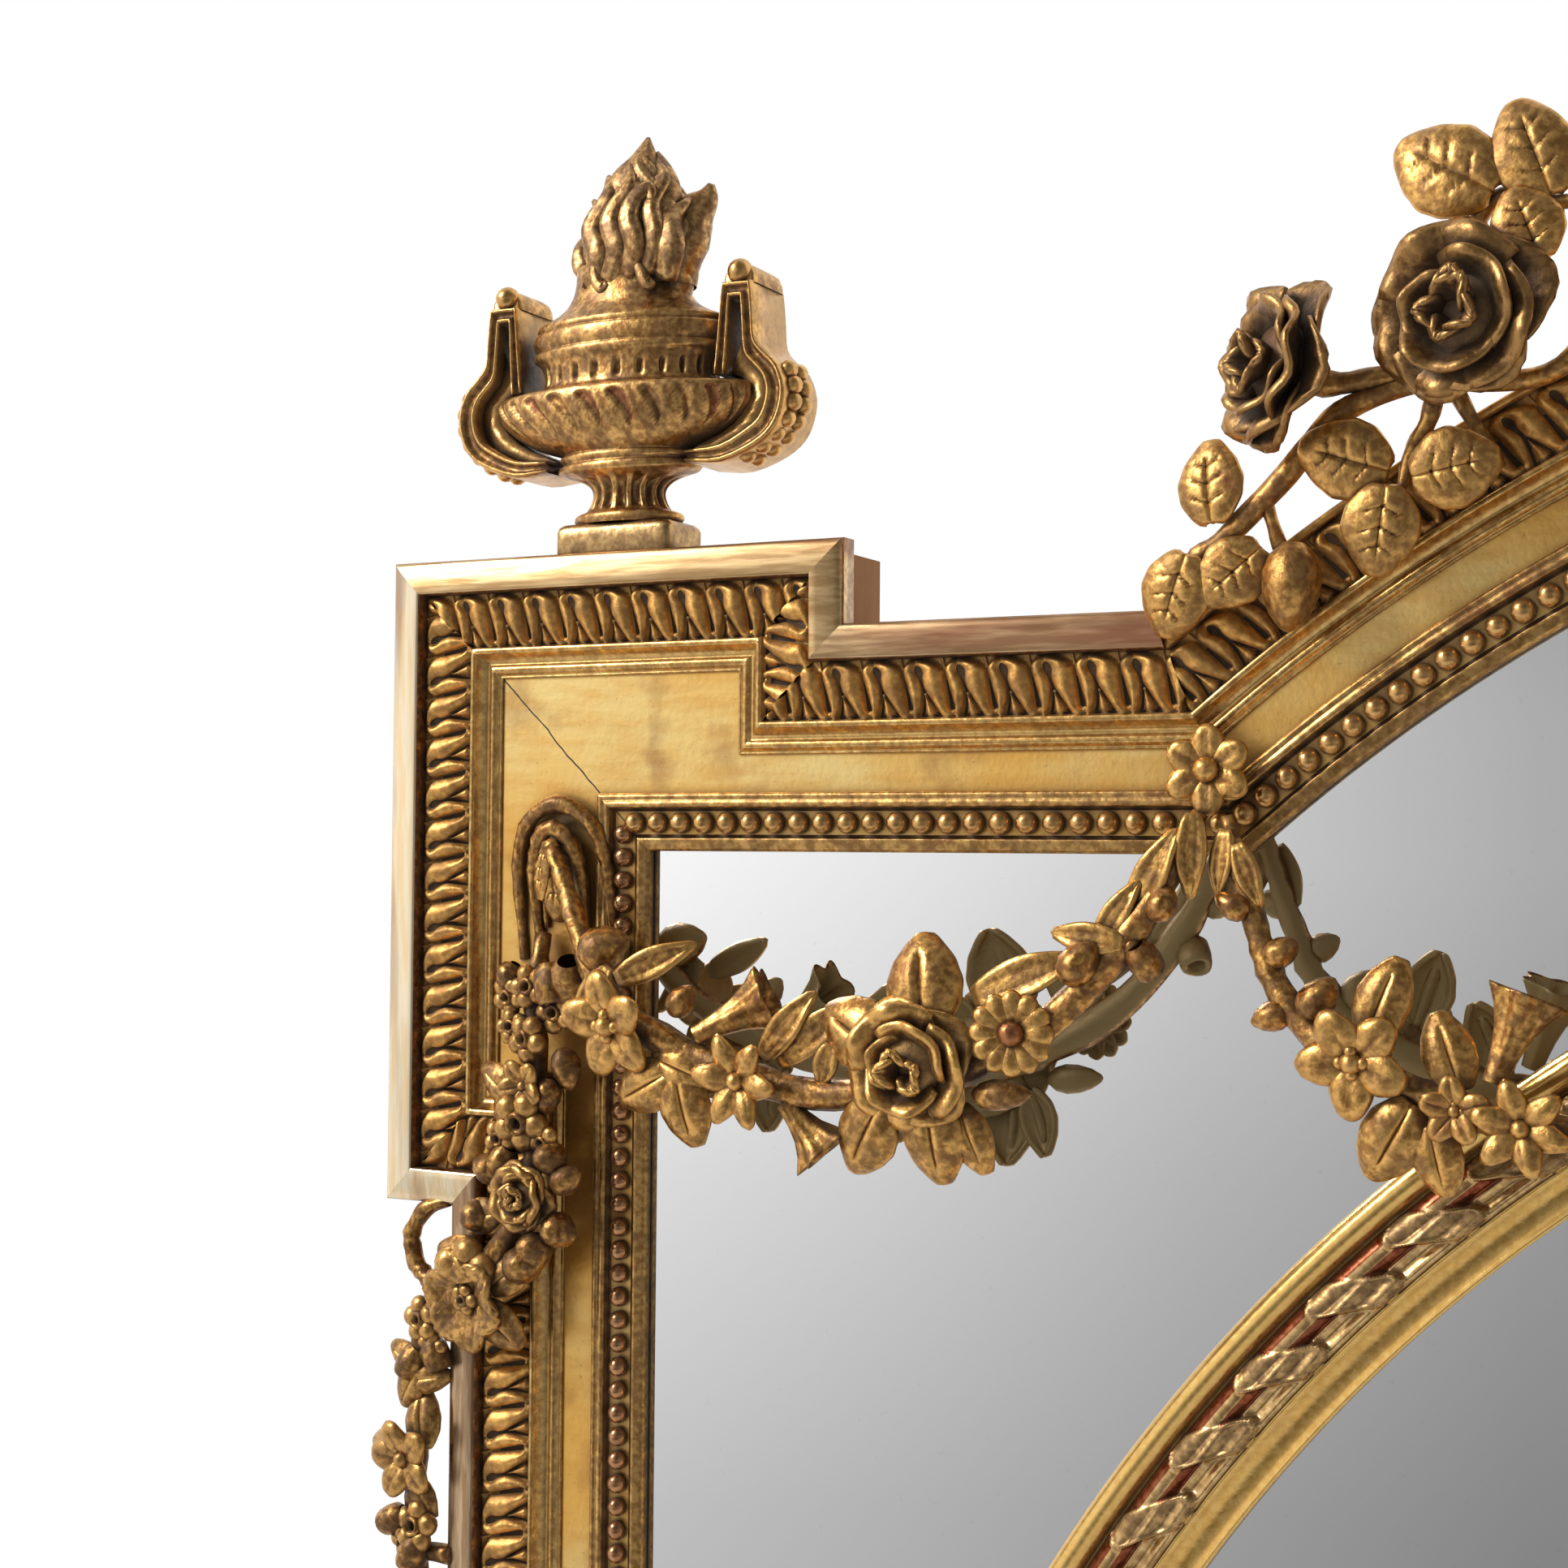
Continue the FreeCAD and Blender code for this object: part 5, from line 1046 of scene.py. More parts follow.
STRAP_OUTSIDE = [
    (29.7, 20.0), (44.0, 19.0), (58.0, 23.5), (65.5, 29.0), (69.0, 36.0), (70.0, 44.0), (67.0, 52.5),
    (61.5, 58.0), (57.8, 63.0), (57.0, 72.0), (56.0, 82.5), (54.6, 83.6), (45.4, 83.6), (44.0, 82.5),
    (42.6, 67.0), (41.0, 50.9),
]
STRAP_INSIDE = [
    (29.7, 24.4), (44.0, 25.6), (55.0, 31.0), (58.9, 34.0), (61.2, 38.4), (62.0, 44.0), (60.4, 49.0),
    (56.4, 53.4), (53.2, 57.6), (52.2, 68.0), (51.6, 76.8), (51.0, 78.0), (48.2, 78.0), (47.4, 76.8),
    (46.8, 64.0), (46.0, 50.4),
]
STRAP_FACE = [
    (0.0, 9.0), (0.0, 33.6), (0.05, 34.8), (0.14, 35.4), (0.24, 35.2), (0.31, 33.8), (0.5, 33.2),
    (0.69, 33.8), (0.76, 35.2), (0.86, 35.4), (0.95, 34.8), (1.0, 33.6), (1.0, 9.0),
]
PEARL_ROW = (
    (68.4, 51.0), (70.4, 45.4), (70.2, 39.6), (67.8, 34.0), (63.6, 29.2), (58.2, 25.2), (52.0, 22.2),
)
PEARL_ROWS_OUT = (28.6, 20.6)
HANDLE_PEARL = 3.5
LOOP_ACROSS = 50.0
KNOB_RADIUS = 4.7
KNOB_OUT = 31.5
KNOB_UP = 87.6
CAP_OUT = 21.0
CAP_LONGER = 5.5
CAP_UP = 83.2
WEB_BACK = 12.0
WEB_FRONT = 30.0
CAP_LINE = ((6.4, 0.0), (6.2, 3.0), (5.2, 5.6), (3.4, 7.0), (0.4, 7.4))
WEB_EDGE = (
    (27, 24), (34, 27), (42, 30), (47, 33), (50, 36), (54, 41), (54, 47), (50, 50), (47, 51), (46, 52),
)


def strap_handle(handles, side):
    """A bent strap with raised edges, a row of pearls outside and a capped loop on top."""

    def put(bits, faces):
        """Sets (across, out, up) points on one side of the vase."""
        spots = [(URN_X + side * across, -out, URN_FOOT + up) for across, out, up in bits]
        handles.put(spots, turned(faces) if side > 0 else faces)

    outside, inside = smooth_line(STRAP_OUTSIDE, 3), smooth_line(STRAP_INSIDE, 3)
    rings = [
        (far[0] + (near[0] - far[0]) * w, out, far[1] + (near[1] - far[1]) * w)
        for far, near in zip(outside, inside)
        for w, out in STRAP_FACE
    ]
    sides = len(STRAP_FACE)
    ends = [tuple(range(sides)), tuple(reversed(range(len(rings) - sides, len(rings))))]
    put(rings, ring_faces(len(outside), sides) + ends)
    pearl, pearl_faces = ball(HANDLE_PEARL)
    for across, up in PEARL_ROW:
        for out in PEARL_ROWS_OUT:
            handles.put(pearl + (URN_X + side * across, -out, URN_FOOT + up), pearl_faces)
    web = [
        (edge[0], out, edge[1])
        for near, far in zip(STRAP_INSIDE, WEB_EDGE)
        for edge, out in ((near, WEB_BACK), (near, WEB_FRONT), (far, WEB_FRONT), (far, WEB_BACK))
    ]
    put(web, ring_faces(len(WEB_EDGE), 4))
    loop_x = URN_X + side * LOOP_ACROSS
    knob, knob_faces = ball(KNOB_RADIUS, 10, 18)
    handles.put(knob + (loop_x, -KNOB_OUT, URN_FOOT + KNOB_UP), knob_faces)
    cap = [
        (loop_x + half * x, -CAP_OUT - (half + CAP_LONGER) * y, URN_FOOT + CAP_UP + up)
        for half, up in CAP_LINE
        for x, y in zip(square_x[::2], square_y[::2])
    ]
    handles.put(cap, ring_faces(len(CAP_LINE), len(square_x[::2])))


handles = Cluster()
strap_handle(handles, -1)
strap_handle(handles, 1)
handles.fit("urn_handles_left", "urn_straps_left", [urn_gold], "gilt_urn")

# Ear hoods: a rolled leaf bent into a niche on each ear's frieze, glued on.
# It frames the knot from which the garland and the flower drop hang.
flower_gold = gilding(
    "flower_gold", (0.92, 0.52, 0.155), (0.4, 0.182, 0.052), 0.24, 0.3, 0.62, 1.0, 0.012, True,
)


PEG = [3.4, 3.4]


class Spray(Cluster):
    """Flowers, leaves and stems carved from limewood and gilt, in places given as (across, up, out)."""

    def set(self, points, faces, spot, lean=(0, 0), spin=0, pick=0):
        """Turns a bit that was made facing the viewer, and puts it in its place."""
        a, b, c = math.radians(spin), math.radians(lean[0]), math.radians(lean[1])
        about_out = np.array([[math.cos(a), -math.sin(a), 0], [math.sin(a), math.cos(a), 0], [0, 0, 1]])
        sideways = np.array([[math.cos(b), 0, math.sin(b)], [0, 1, 0], [-math.sin(b), 0, math.cos(b)]])
        upwards = np.array([[1, 0, 0], [0, math.cos(c), math.sin(c)], [0, -math.sin(c), math.cos(c)]])
        spots = np.asarray(points, float) @ (upwards @ sideways @ about_out).T
        x, z, t = spot
        self.put(np.stack([x + spots[:, 0], -(t + spots[:, 2]), z + spots[:, 1]], axis=-1), faces, pick)

    def stem(self, path, widths, sides=9):
        """A round stem, a little knotty, through given places."""
        line = smooth_line(path, 5)
        count = np.arange(len(line))
        width = taper(line, widths) * (1 + 0.1 * np.sin(count * 2.3 + line[:, 0]))
        turn = circle(sides)
        knots = 1 + 0.08 * np.sin(3 * turn)[None, :] * np.cos(count * 1.1)[:, None]
        spots, faces = sweep(line, width[:, None] * knots, (0.05, 0.03, 1.0), np.cos(turn), np.sin(turn))
        self.put(np.stack([spots[:, 0], -spots[:, 2], spots[:, 1]], axis=-1), faces)

    def bead(self, spot, radius):
        """A berry, a little flattened."""
        points, faces = ball(radius, 8, 12)
        self.set(points * (1, 1, 0.8), faces, spot)


SHEET_EDGE = 0.45


def thick_sheet(grid, thick):
    """A thin closed shell on both sides of a grid of points."""
    rows, columns, _ = grid.shape
    normal = np.cross(np.gradient(grid, axis=1), np.gradient(grid, axis=0))
    normal /= np.linalg.norm(normal, axis=2, keepdims=True) + 1e-9
    edge = np.ones((rows, columns, 1))
    edge[[0, -1]] = SHEET_EDGE
    edge[:, [0, -1]] = SHEET_EDGE
    half = normal * thick / 2 * edge
    points = np.concatenate([(grid + half).reshape(-1, 3), (grid - half).reshape(-1, 3)])
    far = rows * columns
    faces = []
    for i in range(rows - 1):
        for j in range(columns - 1):
            a, b, c, d = quad(i, j, columns)
            faces += [(a, b, c, d), (far + d, far + c, far + b, far + a)]
    rim = list(range(columns)) + [i * columns + columns - 1 for i in range(1, rows)]
    rim += [(rows - 1) * columns + j for j in range(columns - 2, -1, -1)]
    rim += [i * columns for i in range(rows - 2, 0, -1)]
    for a, b in zip(rim, rim[1:] + rim[:1]):
        faces.append((b, a, far + a, far + b))
    return points, faces


def petal(
    length, width, rise=0.0, cup=0.0, roll=0.0, belly=0.0, rib=0.0, point=0.0,
    thick=1.8, wave=0.0, start=0.0,
):
    """A petal that grows up from its foot: rise lifts its tip in degrees, roll bends the tip back."""
    v = np.linspace(0, 1, 11)[:, None]
    u = np.linspace(-1, 1, 9)[None, :]
    half = width / 2 * np.sin(np.pi * (0.09 + 0.8 * v**0.85)) ** 0.62
    half = half * (1 - point * unit(v - 0.45) ** 1.5 * 2.2)
    x = u * half
    y = length * (start + (1 - start) * v) - 0.1 * length * u**2 * v**2 * (1 - point)
    z = cup * width * (u**2) * np.sin(np.pi * unit(v) * 0.75)
    z = z + belly * width * (1 - u**2) * np.sin(np.pi * v) ** 0.7
    z = z - roll * length * unit(v - 0.55) ** 2 * 3
    z = z + rib * hump(u, 0.16) * np.sin(np.pi * v)
    z = z + wave * length * np.sin(3.2 * np.pi * u) * v**2
    lift = math.radians(rise)
    up = y * math.cos(lift) - z * math.sin(lift)
    out = y * math.sin(lift) + z * math.cos(lift)
    return thick_sheet(np.stack([x + 0 * y, up, out], axis=-1), thick)


LEAF_BEND = 0.06
LEAF_THICK = 2.4


def leaf(length, width, point=0.0, veins=True):
    """A puffy leaf with an engraved midrib, centred on its middle; a rose leaf has side veins too."""
    v = np.linspace(0, 1, 37)[:, None]
    u = np.linspace(-1, 1, 25)[None, :]
    half = width / 2 * np.sin(np.pi * unit(0.03 + 0.96 * v**0.92)) ** 0.6
    half = half * (1 + 0.014 * np.sin(9 * np.pi * v)) * (1 - point * unit(v - 0.4) ** 1.3 * 1.6)
    puff = (0.08 if veins else 0.16) * width * (1 - np.abs(u) ** 2.4)
    puff = puff * np.sin(np.pi * unit(0.04 + 0.92 * v)) ** 0.6
    middle = hump(u, 0.07 if veins else 0.1) * unit((0.8 - v) / 0.1)
    side_veins = np.zeros_like(u * v)
    for root in (0.22, 0.44, 0.64) if veins else ():
        line = np.abs(v - root - 0.2 * np.abs(u))
        reach = unit((0.58 - np.abs(u)) / 0.2)
        side_veins = np.maximum(side_veins, hump(line, 0.017) * reach)
    z = puff - (1.3 if veins else 1.9) * middle - 1.1 * side_veins
    z = z - LEAF_BEND * length * (2 * v - 1) ** 2 - 0.05 * width * np.abs(u) ** 3
    return thick_sheet(np.stack([u * half, length * (v - 0.5) + 0 * u, z], axis=-1), LEAF_THICK)


def spun(line, sides, ribs=0, deep=0.0):
    """A round bit spun about its length; ribs flute it towards the mouth."""
    turn = circle(sides)
    share = np.linspace(0, 1, len(line))[:, None]
    radius = line[:, 0][:, None] * (1 + deep * share * np.cos(ribs * turn)[None, :])
    height = line[:, 1][:, None] + 0 * radius
    points = np.stack([radius * np.sin(turn)[None, :], height, radius * np.cos(turn)[None, :]], axis=-1)
    return points.reshape(-1, 3), ring_faces(len(line), sides)


hood = Spray()
hood.stem(
    [
        (-646, 1362, 30), (-648, 1392, 32), (-644, 1411, 34), (-630, 1420, 35), (-615, 1412, 34),
        (-609, 1394, 32), (-607, 1362, 30),
    ],
    [1.8, 2.6, 3.0, 3.2, 3.0, 2.6, 1.8], 12,
)
hood.stem(
    [
        (-639, 1370, 31), (-640, 1392, 34), (-637, 1406, 36), (-630, 1411, 37), (-622, 1404, 36),
        (-619, 1388, 34), (-619, 1366, 31),
    ],
    [1.6, 2.6, 3.0, 3.2, 3.0, 2.6, 1.6], 12,
)
hood.stem(
    [
        (-636, 1374, 31), (-636, 1392, 33), (-633, 1401, 35), (-629, 1404, 35.5), (-624, 1398, 35),
        (-622, 1384, 33),
    ],
    [1.0, 1.6, 2.0, 2.2, 2.0, 1.2], 10,
)
for spot, length, width, spin, lean in (
    ((-630, 1393, 35), 34, 15, 176, (0, -8)),
    ((-625, 1396, 36), 24, 9, 195, (20, 0)),
    ((-635, 1396, 36), 24, 9, 168, (-20, 0)),
):
    hood.set(*leaf(length, width), spot, lean, spin)
hood.fit("ear_hood_left", "hood_leaf_left", [flower_gold], "gilt_flowers")

# Rosettes: a small carved flower on each mitre between shoulder and arch.
# A peg through the moulding holds it, and the garlands tie under it.
ROSETTE_X = -379.8
ROSETTE_Z = 1429.8
ROSETTE_PETALS = 6

rosette = Spray()
for i in range(ROSETTE_PETALS):
    bit = petal(15.0, 11.5, rise=8, belly=0.16, rib=-0.9, thick=2.2, start=0.12)
    rosette.set(*bit, (ROSETTE_X, ROSETTE_Z, 39.5), spin=360 / ROSETTE_PETALS * i)
rosette.bead((ROSETTE_X, ROSETTE_Z, 43.5), 4.2)
rosette.stem([(ROSETTE_X, ROSETTE_Z, 31), (ROSETTE_X, ROSETTE_Z - 0.1, 42)], [4, 4])
rosette.fit("rosette_left", "rosette_flower_left", [flower_gold], "gilt_flowers")

# Garlands: limewood swags of mixed flowers, carved in the round and gilt, hanging clear of the glass.
# The outer one runs from the ear's hood to the rosette, the inner one over the oval to the arch's crown.
# Each is a stem with blooms, bells, buds and leaves, pegged at its ends; its back shows in the mirror.
WRAP_THICK = 2.6

chance = np.random.default_rng(11)


def wrap(radius, height, start, span, flare):
    """A petal wrapped round the heart: it covers part of a turn, and its rim rolls out."""
    v = np.linspace(0, 1, 10)[:, None]
    a = np.linspace(-1, 1, 19)[None, :]
    turn = math.radians(start) + math.radians(span) / 2 * a
    reach = radius * (0.3 + 0.58 * v**0.7 + flare * v**4 - 0.1 * a**2 * v)
    rise = radius * (height * v**1.25 * (1 - 0.34 * np.abs(a) ** 3) - 0.16 * flare / 0.2 * v**6)
    rise = rise + radius * 0.09 * np.sin(2.6 * np.pi * a + start) * v**2
    return thick_sheet(np.stack([reach * np.sin(turn), reach * np.cos(turn), rise], axis=-1), WRAP_THICK)


ROSE_BACK = 5
ROSE_WRAPS = (
    (0.92, 0.5, 0, 125, 0.17),
    (0.88, 0.58, 128, 130, 0.14),
    (0.9, 0.54, 240, 140, 0.17),
    (0.7, 0.84, 62, 150, 0.14),
    (0.66, 0.94, 205, 150, 0.1),
    (0.52, 1.1, 318, 140, 0.08),
)
ROSE_HEART = 5
DAISY_PETALS = 12


def rose(spray, spot, radius, lean=(0, 0), spin=0):
    """A full rose: broad outer petals, wrapped petals one inside another, and a crumpled heart."""
    for i in range(ROSE_BACK):
        rise = 12 + chance.uniform(-8, 10)
        points, faces = petal(
            radius * 1.04, radius * 1.22, rise, 0.14, 0.16, thick=2.8, wave=0.02, start=0.15,
        )
        turn = spin + 360 / ROSE_BACK * i + chance.uniform(-12, 12)
        spray.set(points - (0, 0, radius * 0.22), faces, spot, lean, turn)
    for size, height, start, span, flare in ROSE_WRAPS:
        points, faces = wrap(radius * size, height, start + chance.uniform(-16, 16), span, flare)
        tip = (lean[0] + chance.uniform(-9, 9), lean[1] + chance.uniform(-9, 9))
        spray.set(points - (0, 0, radius * 0.1), faces, spot, tip, spin)
    base, base_faces = ball(radius * 0.52, 8, 18)
    spray.set(base * (1, 1, 0.45), base_faces, spot, lean)
    for i in range(ROSE_HEART):
        size = radius * chance.uniform(0.36, 0.52)
        points, faces = petal(
            size, size * 0.9, chance.uniform(46, 78), 0.4, 0.2, thick=2.6, wave=0.05, start=0.04,
        )
        points = points + (chance.uniform(-0.1, 0.1) * radius, radius * 0.1, radius * 0.14)
        spray.set(points, faces, spot, lean, spin + 74 * i + chance.uniform(-20, 20))


def bloom(spray, spot, radius, petals, width, rise, lean, spin, point=0.12, heart=4, rib=-1.1):
    """An open flower with ribbed petals and a bunch of beads at its heart."""
    for i in range(petals):
        lift = rise + chance.uniform(-7, 7)
        bit = petal(radius, radius * width, lift, 0.0, 0.1, 0.17, rib, point, thick=2.4, start=0.08)
        spray.set(*bit, spot, lean, spin + 360 / petals * i + chance.uniform(-6, 6))
    boss, boss_faces = ball(radius * 0.2, 7, 10)
    spray.set(boss + (0, 0, radius * 0.16), boss_faces, spot, lean)
    for i in range(heart):
        turn = 2 * math.pi * i / heart
        bead, bead_quads = ball(radius * 0.12, 6, 8)
        at = (radius * 0.2 * math.cos(turn), radius * 0.2 * math.sin(turn), radius * 0.16)
        spray.set(bead + at, bead_quads, spot, lean)


def daisy(spray, spot, radius, lean):
    """A flat flower of many fluted petals round a rubbed red boss."""
    for i in range(DAISY_PETALS):
        bit = petal(radius, radius * 0.6, 10, -0.1, 0.1, belly=0.16, thick=1.8, start=0.2)
        spray.set(*bit, spot, lean, 360 / DAISY_PETALS * i)
    boss, boss_faces = ball(radius * 0.3, 8, 14)
    spray.set(boss * (1, 1, 0.8) + (0, 0, radius * 0.22), boss_faces, spot, lean, pick=1)


BELL_LINE = np.array([
    (0.3, 0.0), (0.34, 0.15), (0.4, 0.35), (0.52, 0.58), (0.74, 0.8), (0.98, 0.96), (1.0, 1.0),
    (0.88, 0.97), (0.55, 0.8), (0.3, 0.55), (0.05, 0.5),
])
BUD_LINE = np.array([
    (0.35, 0.0), (0.8, 0.14), (1.0, 0.34), (0.94, 0.56), (0.66, 0.8), (0.28, 0.96), (0.04, 1.0),
])
DRILLED_LINE = np.array([
    (0.55, 0.0), (0.9, 0.2), (1.0, 0.55), (0.98, 0.85), (0.9, 0.98), (0.72, 1.0), (0.52, 0.94),
    (0.42, 0.6), (0.05, 0.55),
])


def bell(spray, spot, length, radius, spin, lean):
    """A trumpet flower with a frilled mouth, growing up from its foot."""
    points, faces = spun(BELL_LINE * (radius, length), 48, 6, 0.3)
    spray.set(points * (1, 1, 0.8), turned(faces), spot, lean, spin)


def bud(spray, spot, length, radius, spin, lean=(0, 0), drilled=False):
    """A closed bud in its sepals, or a drilled one with an open end."""
    points, faces = spun((DRILLED_LINE if drilled else BUD_LINE) * (radius, length), 18, 3, 0.1)
    spray.set(points, turned(faces), spot, lean, spin)


def leaves(spray, *rows, point=0.0, veins=True):
    """Leaves given as place, length, width, spin and lean."""
    for spot, length, width, spin, lean in rows:
        spray.set(*leaf(length, width, point=point, veins=veins), spot, lean, spin)


def blades(spray, *rows):
    """Narrow pointed leaves with a raised rib, given from their middle."""
    for spot, length, width, spin, lean in rows:
        points, faces = petal(length, width, 0, 0.18, 0.12, rib=0.8, point=0.5, thick=2.2)
        spray.set(points - (0, length / 2, 0), faces, spot, lean, spin)


outer = Spray()
outer.stem(
    [
        (-629, 1404, 40), (-621, 1391, 43), (-609, 1370, 49), (-594, 1349, 54), (-572, 1337, 56),
        (-545, 1328, 56), (-512, 1321, 56), (-475, 1326, 55), (-444, 1338, 56), (-421, 1354, 56),
        (-402, 1376, 53), (-389, 1398, 49), (-381, 1416, 45),
    ],
    [3.0, 3.6, 4.4, 5.0, 5.2, 5.4, 5.6, 5.6, 5.4, 5.2, 5.0, 4.2, 2.6],
)
outer.stem([(-626, 1400, 41), (-614, 1376, 47), (-600, 1352, 53)], [2.2, 2.6, 2.2])
outer.stem([(-629, 1403, 32), (-629, 1403.6, 42)], PEG)
bloom(outer, (-588, 1342, 63), 20, 5, 0.74, 12, (-8, -12), 10)
bloom(outer, (-536, 1325, 64), 17.5, 6, 0.56, 16, (-4, -4), 24, 0.34, 0, 1.0)
rose(outer, (-473, 1333, 63), 23, (0, -6), 20)
daisy(outer, (-437, 1345, 64), 14, (12, 0))
bell(outer, (-557, 1339, 58), 30, 11.5, -62, (10, 8))
bell(outer, (-522, 1318, 58), 22, 11, -140, (0, -10))
bud(outer, (-606, 1365, 54), 20, 8.5, -72)
bud(outer, (-613, 1363, 52), 15, 7.6, 168, (-20, -30), True)
bud(outer, (-566, 1346, 59), 13, 5.2, -40)
bud(outer, (-452, 1324, 60), 20, 5.2, -86)
bud(outer, (-421, 1362, 60), 16, 6.6, -40)
outer.stem([(-403, 1376, 53), (-399, 1373, 57)], [2.8, 2.4])
bud(outer, (-399, 1374, 56), 12, 5.6, 200, (20, -30), True)
bud(outer, (-393, 1382, 55), 12, 5.0, -30)
leaves(
    outer,
    ((-578, 1320, 57), 27, 19, 118, (-10, -12)),
    ((-561, 1313, 57), 27, 19, 190, (6, -12)),
    ((-562, 1327, 58), 22, 17, 250, (4, 0)),
    ((-494, 1343, 60), 33, 24, 62, (-12, 10)),
    ((-470, 1360, 60), 34, 27, 8, (0, 14)),
    ((-491, 1308, 59), 30, 22, 150, (-8, -16)),
    ((-466, 1308, 59), 30, 21, 184, (4, -16)),
    ((-454, 1309, 56), 24, 14, 200, (8, -10)),
    point=0.15,
    veins=False,
)
blades(
    outer,
    ((-574, 1364, 57), 32, 11, -66, (10, 0)),
    ((-521, 1344, 58), 30, 11, -40, (0, 0)),
    ((-511, 1342, 56), 34, 12, -52, (6, 0)),
    ((-434, 1363, 58), 40, 14, -68, (0, 10)),
    ((-415, 1376, 57), 26, 10, 84, (-6, 0)),
    ((-394, 1396, 53), 34, 12, -28, (-8, 0)),
    ((-382, 1402, 51), 28, 10, 176, (10, -6)),
    ((-405, 1384, 55), 26, 9, -34, (0, 0)),
    ((-506, 1331, 59), 16, 9, 160, (0, -10)),
    ((-600, 1352, 57), 26, 10, 140, (-10, 0)),
)
outer.fit("outer_garland_left", "outer_swag_left", [flower_gold, bole_worn], "gilt_flowers")

inner = Spray()
inner.stem(
    [
        (-372, 1415, 45), (-368, 1398, 46), (-362, 1380, 47), (-356, 1364, 49), (-344, 1349, 52),
        (-326, 1338, 54), (-298, 1328, 54), (-265, 1322, 54), (-222, 1330, 54), (-170, 1354, 54),
        (-116, 1396, 52), (-67, 1456, 49), (-38, 1510, 45), (-24, 1554, 40),
    ],
    [2.6, 3.4, 4.0, 4.4, 4.8, 5.2, 5.4, 5.6, 5.6, 5.4, 5.0, 4.4, 3.6, 2.6],
)
inner.stem([(-24, 1553.6, 32), (-24, 1554.2, 41)], PEG)
bloom(inner, (-328, 1341, 61), 18, 5, 0.76, 12, (-4, -8), 30)
bloom(inner, (-298, 1328, 61), 11, 5, 0.74, 20, (0, -6), 0)
bloom(inner, (-279, 1324, 62), 15, 6, 0.58, 16, (0, -4), 12, 0.34, 0, 1.0)
rose(inner, (-232, 1331, 61), 23, (0, -4), 40)
bloom(inner, (-190, 1346, 61), 16, 6, 0.58, 16, (4, 0), 15, 0.34, 0, 1.0)
bloom(inner, (-135, 1383, 59), 15, 5, 0.76, 14, (4, 0), 50)
daisy(inner, (-88, 1430, 57), 12, (8, 0))
bloom(inner, (-53, 1485, 54), 9.5, 5, 0.74, 18, (6, 0), 20)
bell(inner, (-288, 1336, 57), 28, 11, -20, (0, 8))
bell(inner, (-255, 1322, 57), 24, 11, 190, (0, -8))
bell(inner, (-160, 1362, 57), 26, 10.5, -10, (0, 8))
for spot, length, radius, spin in (
    ((-364, 1384, 50), 12, 4.6, 60), ((-358, 1370, 51), 12, 4.8, -60), ((-350, 1355, 52), 13, 5.0, 110),
    ((-346, 1353, 53), 16, 6.0, -40), ((-110, 1404, 55), 14, 5.6, 40), ((-64, 1462, 51), 13, 5.0, -40),
):
    bud(inner, spot, length, radius, spin)
leaves(
    inner,
    ((-320, 1360, 57), 26, 17, -20, (0, 10)),
    ((-301, 1345, 57), 24, 16, 20, (0, 10)),
    ((-318, 1317, 57), 28, 20, 150, (0, -14)),
    ((-304, 1312, 56), 22, 15, 190, (0, -14)),
    ((-252, 1346, 58), 30, 22, 30, (0, 12)),
    ((-228, 1357, 58), 30, 23, -10, (0, 14)),
    ((-246, 1307, 57), 28, 20, 160, (0, -14)),
    ((-220, 1306, 57), 28, 20, 190, (0, -14)),
    ((-166, 1336, 57), 26, 17, 200, (0, -10)),
    point=0.15,
    veins=False,
)
blades(
    inner,
    ((-373, 1400, 48), 22, 8, 172, (-8, 0)),
    ((-364, 1396, 49), 22, 8, 200, (8, 0)),
    ((-206, 1352, 57), 30, 11, -40, (0, 6)),
    ((-150, 1388, 56), 30, 11, 20, (0, 6)),
    ((-114, 1380, 54), 26, 10, 210, (0, 0)),
    ((-74, 1438, 53), 30, 11, -60, (0, 0)),
    ((-50, 1508, 50), 28, 10, 20, (0, 0)),
    ((-30, 1520, 46), 26, 10, 190, (0, 0)),
)
inner.fit("inner_garland_left", "inner_swag_left", [flower_gold, bole_worn], "gilt_flowers")

# Flower drops: bunches of small blooms and buds from the hood down the ear and over its lower corner.
# Below the ear they go on outside the stile, pegged to its edge, with a tendril looped at the top.
# A darker copy of the flower gold for the drops: dirt and painted shade.
drop_gold_shaded = gilding(
    "drop_gold_shaded", (0.72, 0.4, 0.125), (0.27, 0.125, 0.039), 0.25, 0.25, 0.72, 1.0, 0.014, True,
)
POSY_PETALS = 5
CORNER_PETALS = 6
CORNER_LEAN = (-10, -10)
EYE_LINE = np.array([
    (0.5, -0.5), (0.46, 0.1), (0.4, 0.36), (0.32, 0.42), (0.22, 0.36), (0.18, 0.0), (0.02, -0.05),
])


def posy(spray, spot, radius, lean, spin=0):
    """A small flower of round petals about a drilled eye."""
    for i in range(POSY_PETALS):
        turn = math.radians(360 / POSY_PETALS * i + spin)
        points, faces = ball(radius * 0.46, 8, 12)
        at = (radius * 0.6 * math.cos(turn), radius * 0.6 * math.sin(turn), 0)
        spray.set(points * (1, 1, 0.8) + at, faces, spot, lean)
    tube, tube_faces = spun(EYE_LINE, 14)
    tube = np.stack([tube[:, 0], tube[:, 2], tube[:, 1]], axis=-1) * radius
    spray.set(tube, tube_faces, spot, lean)


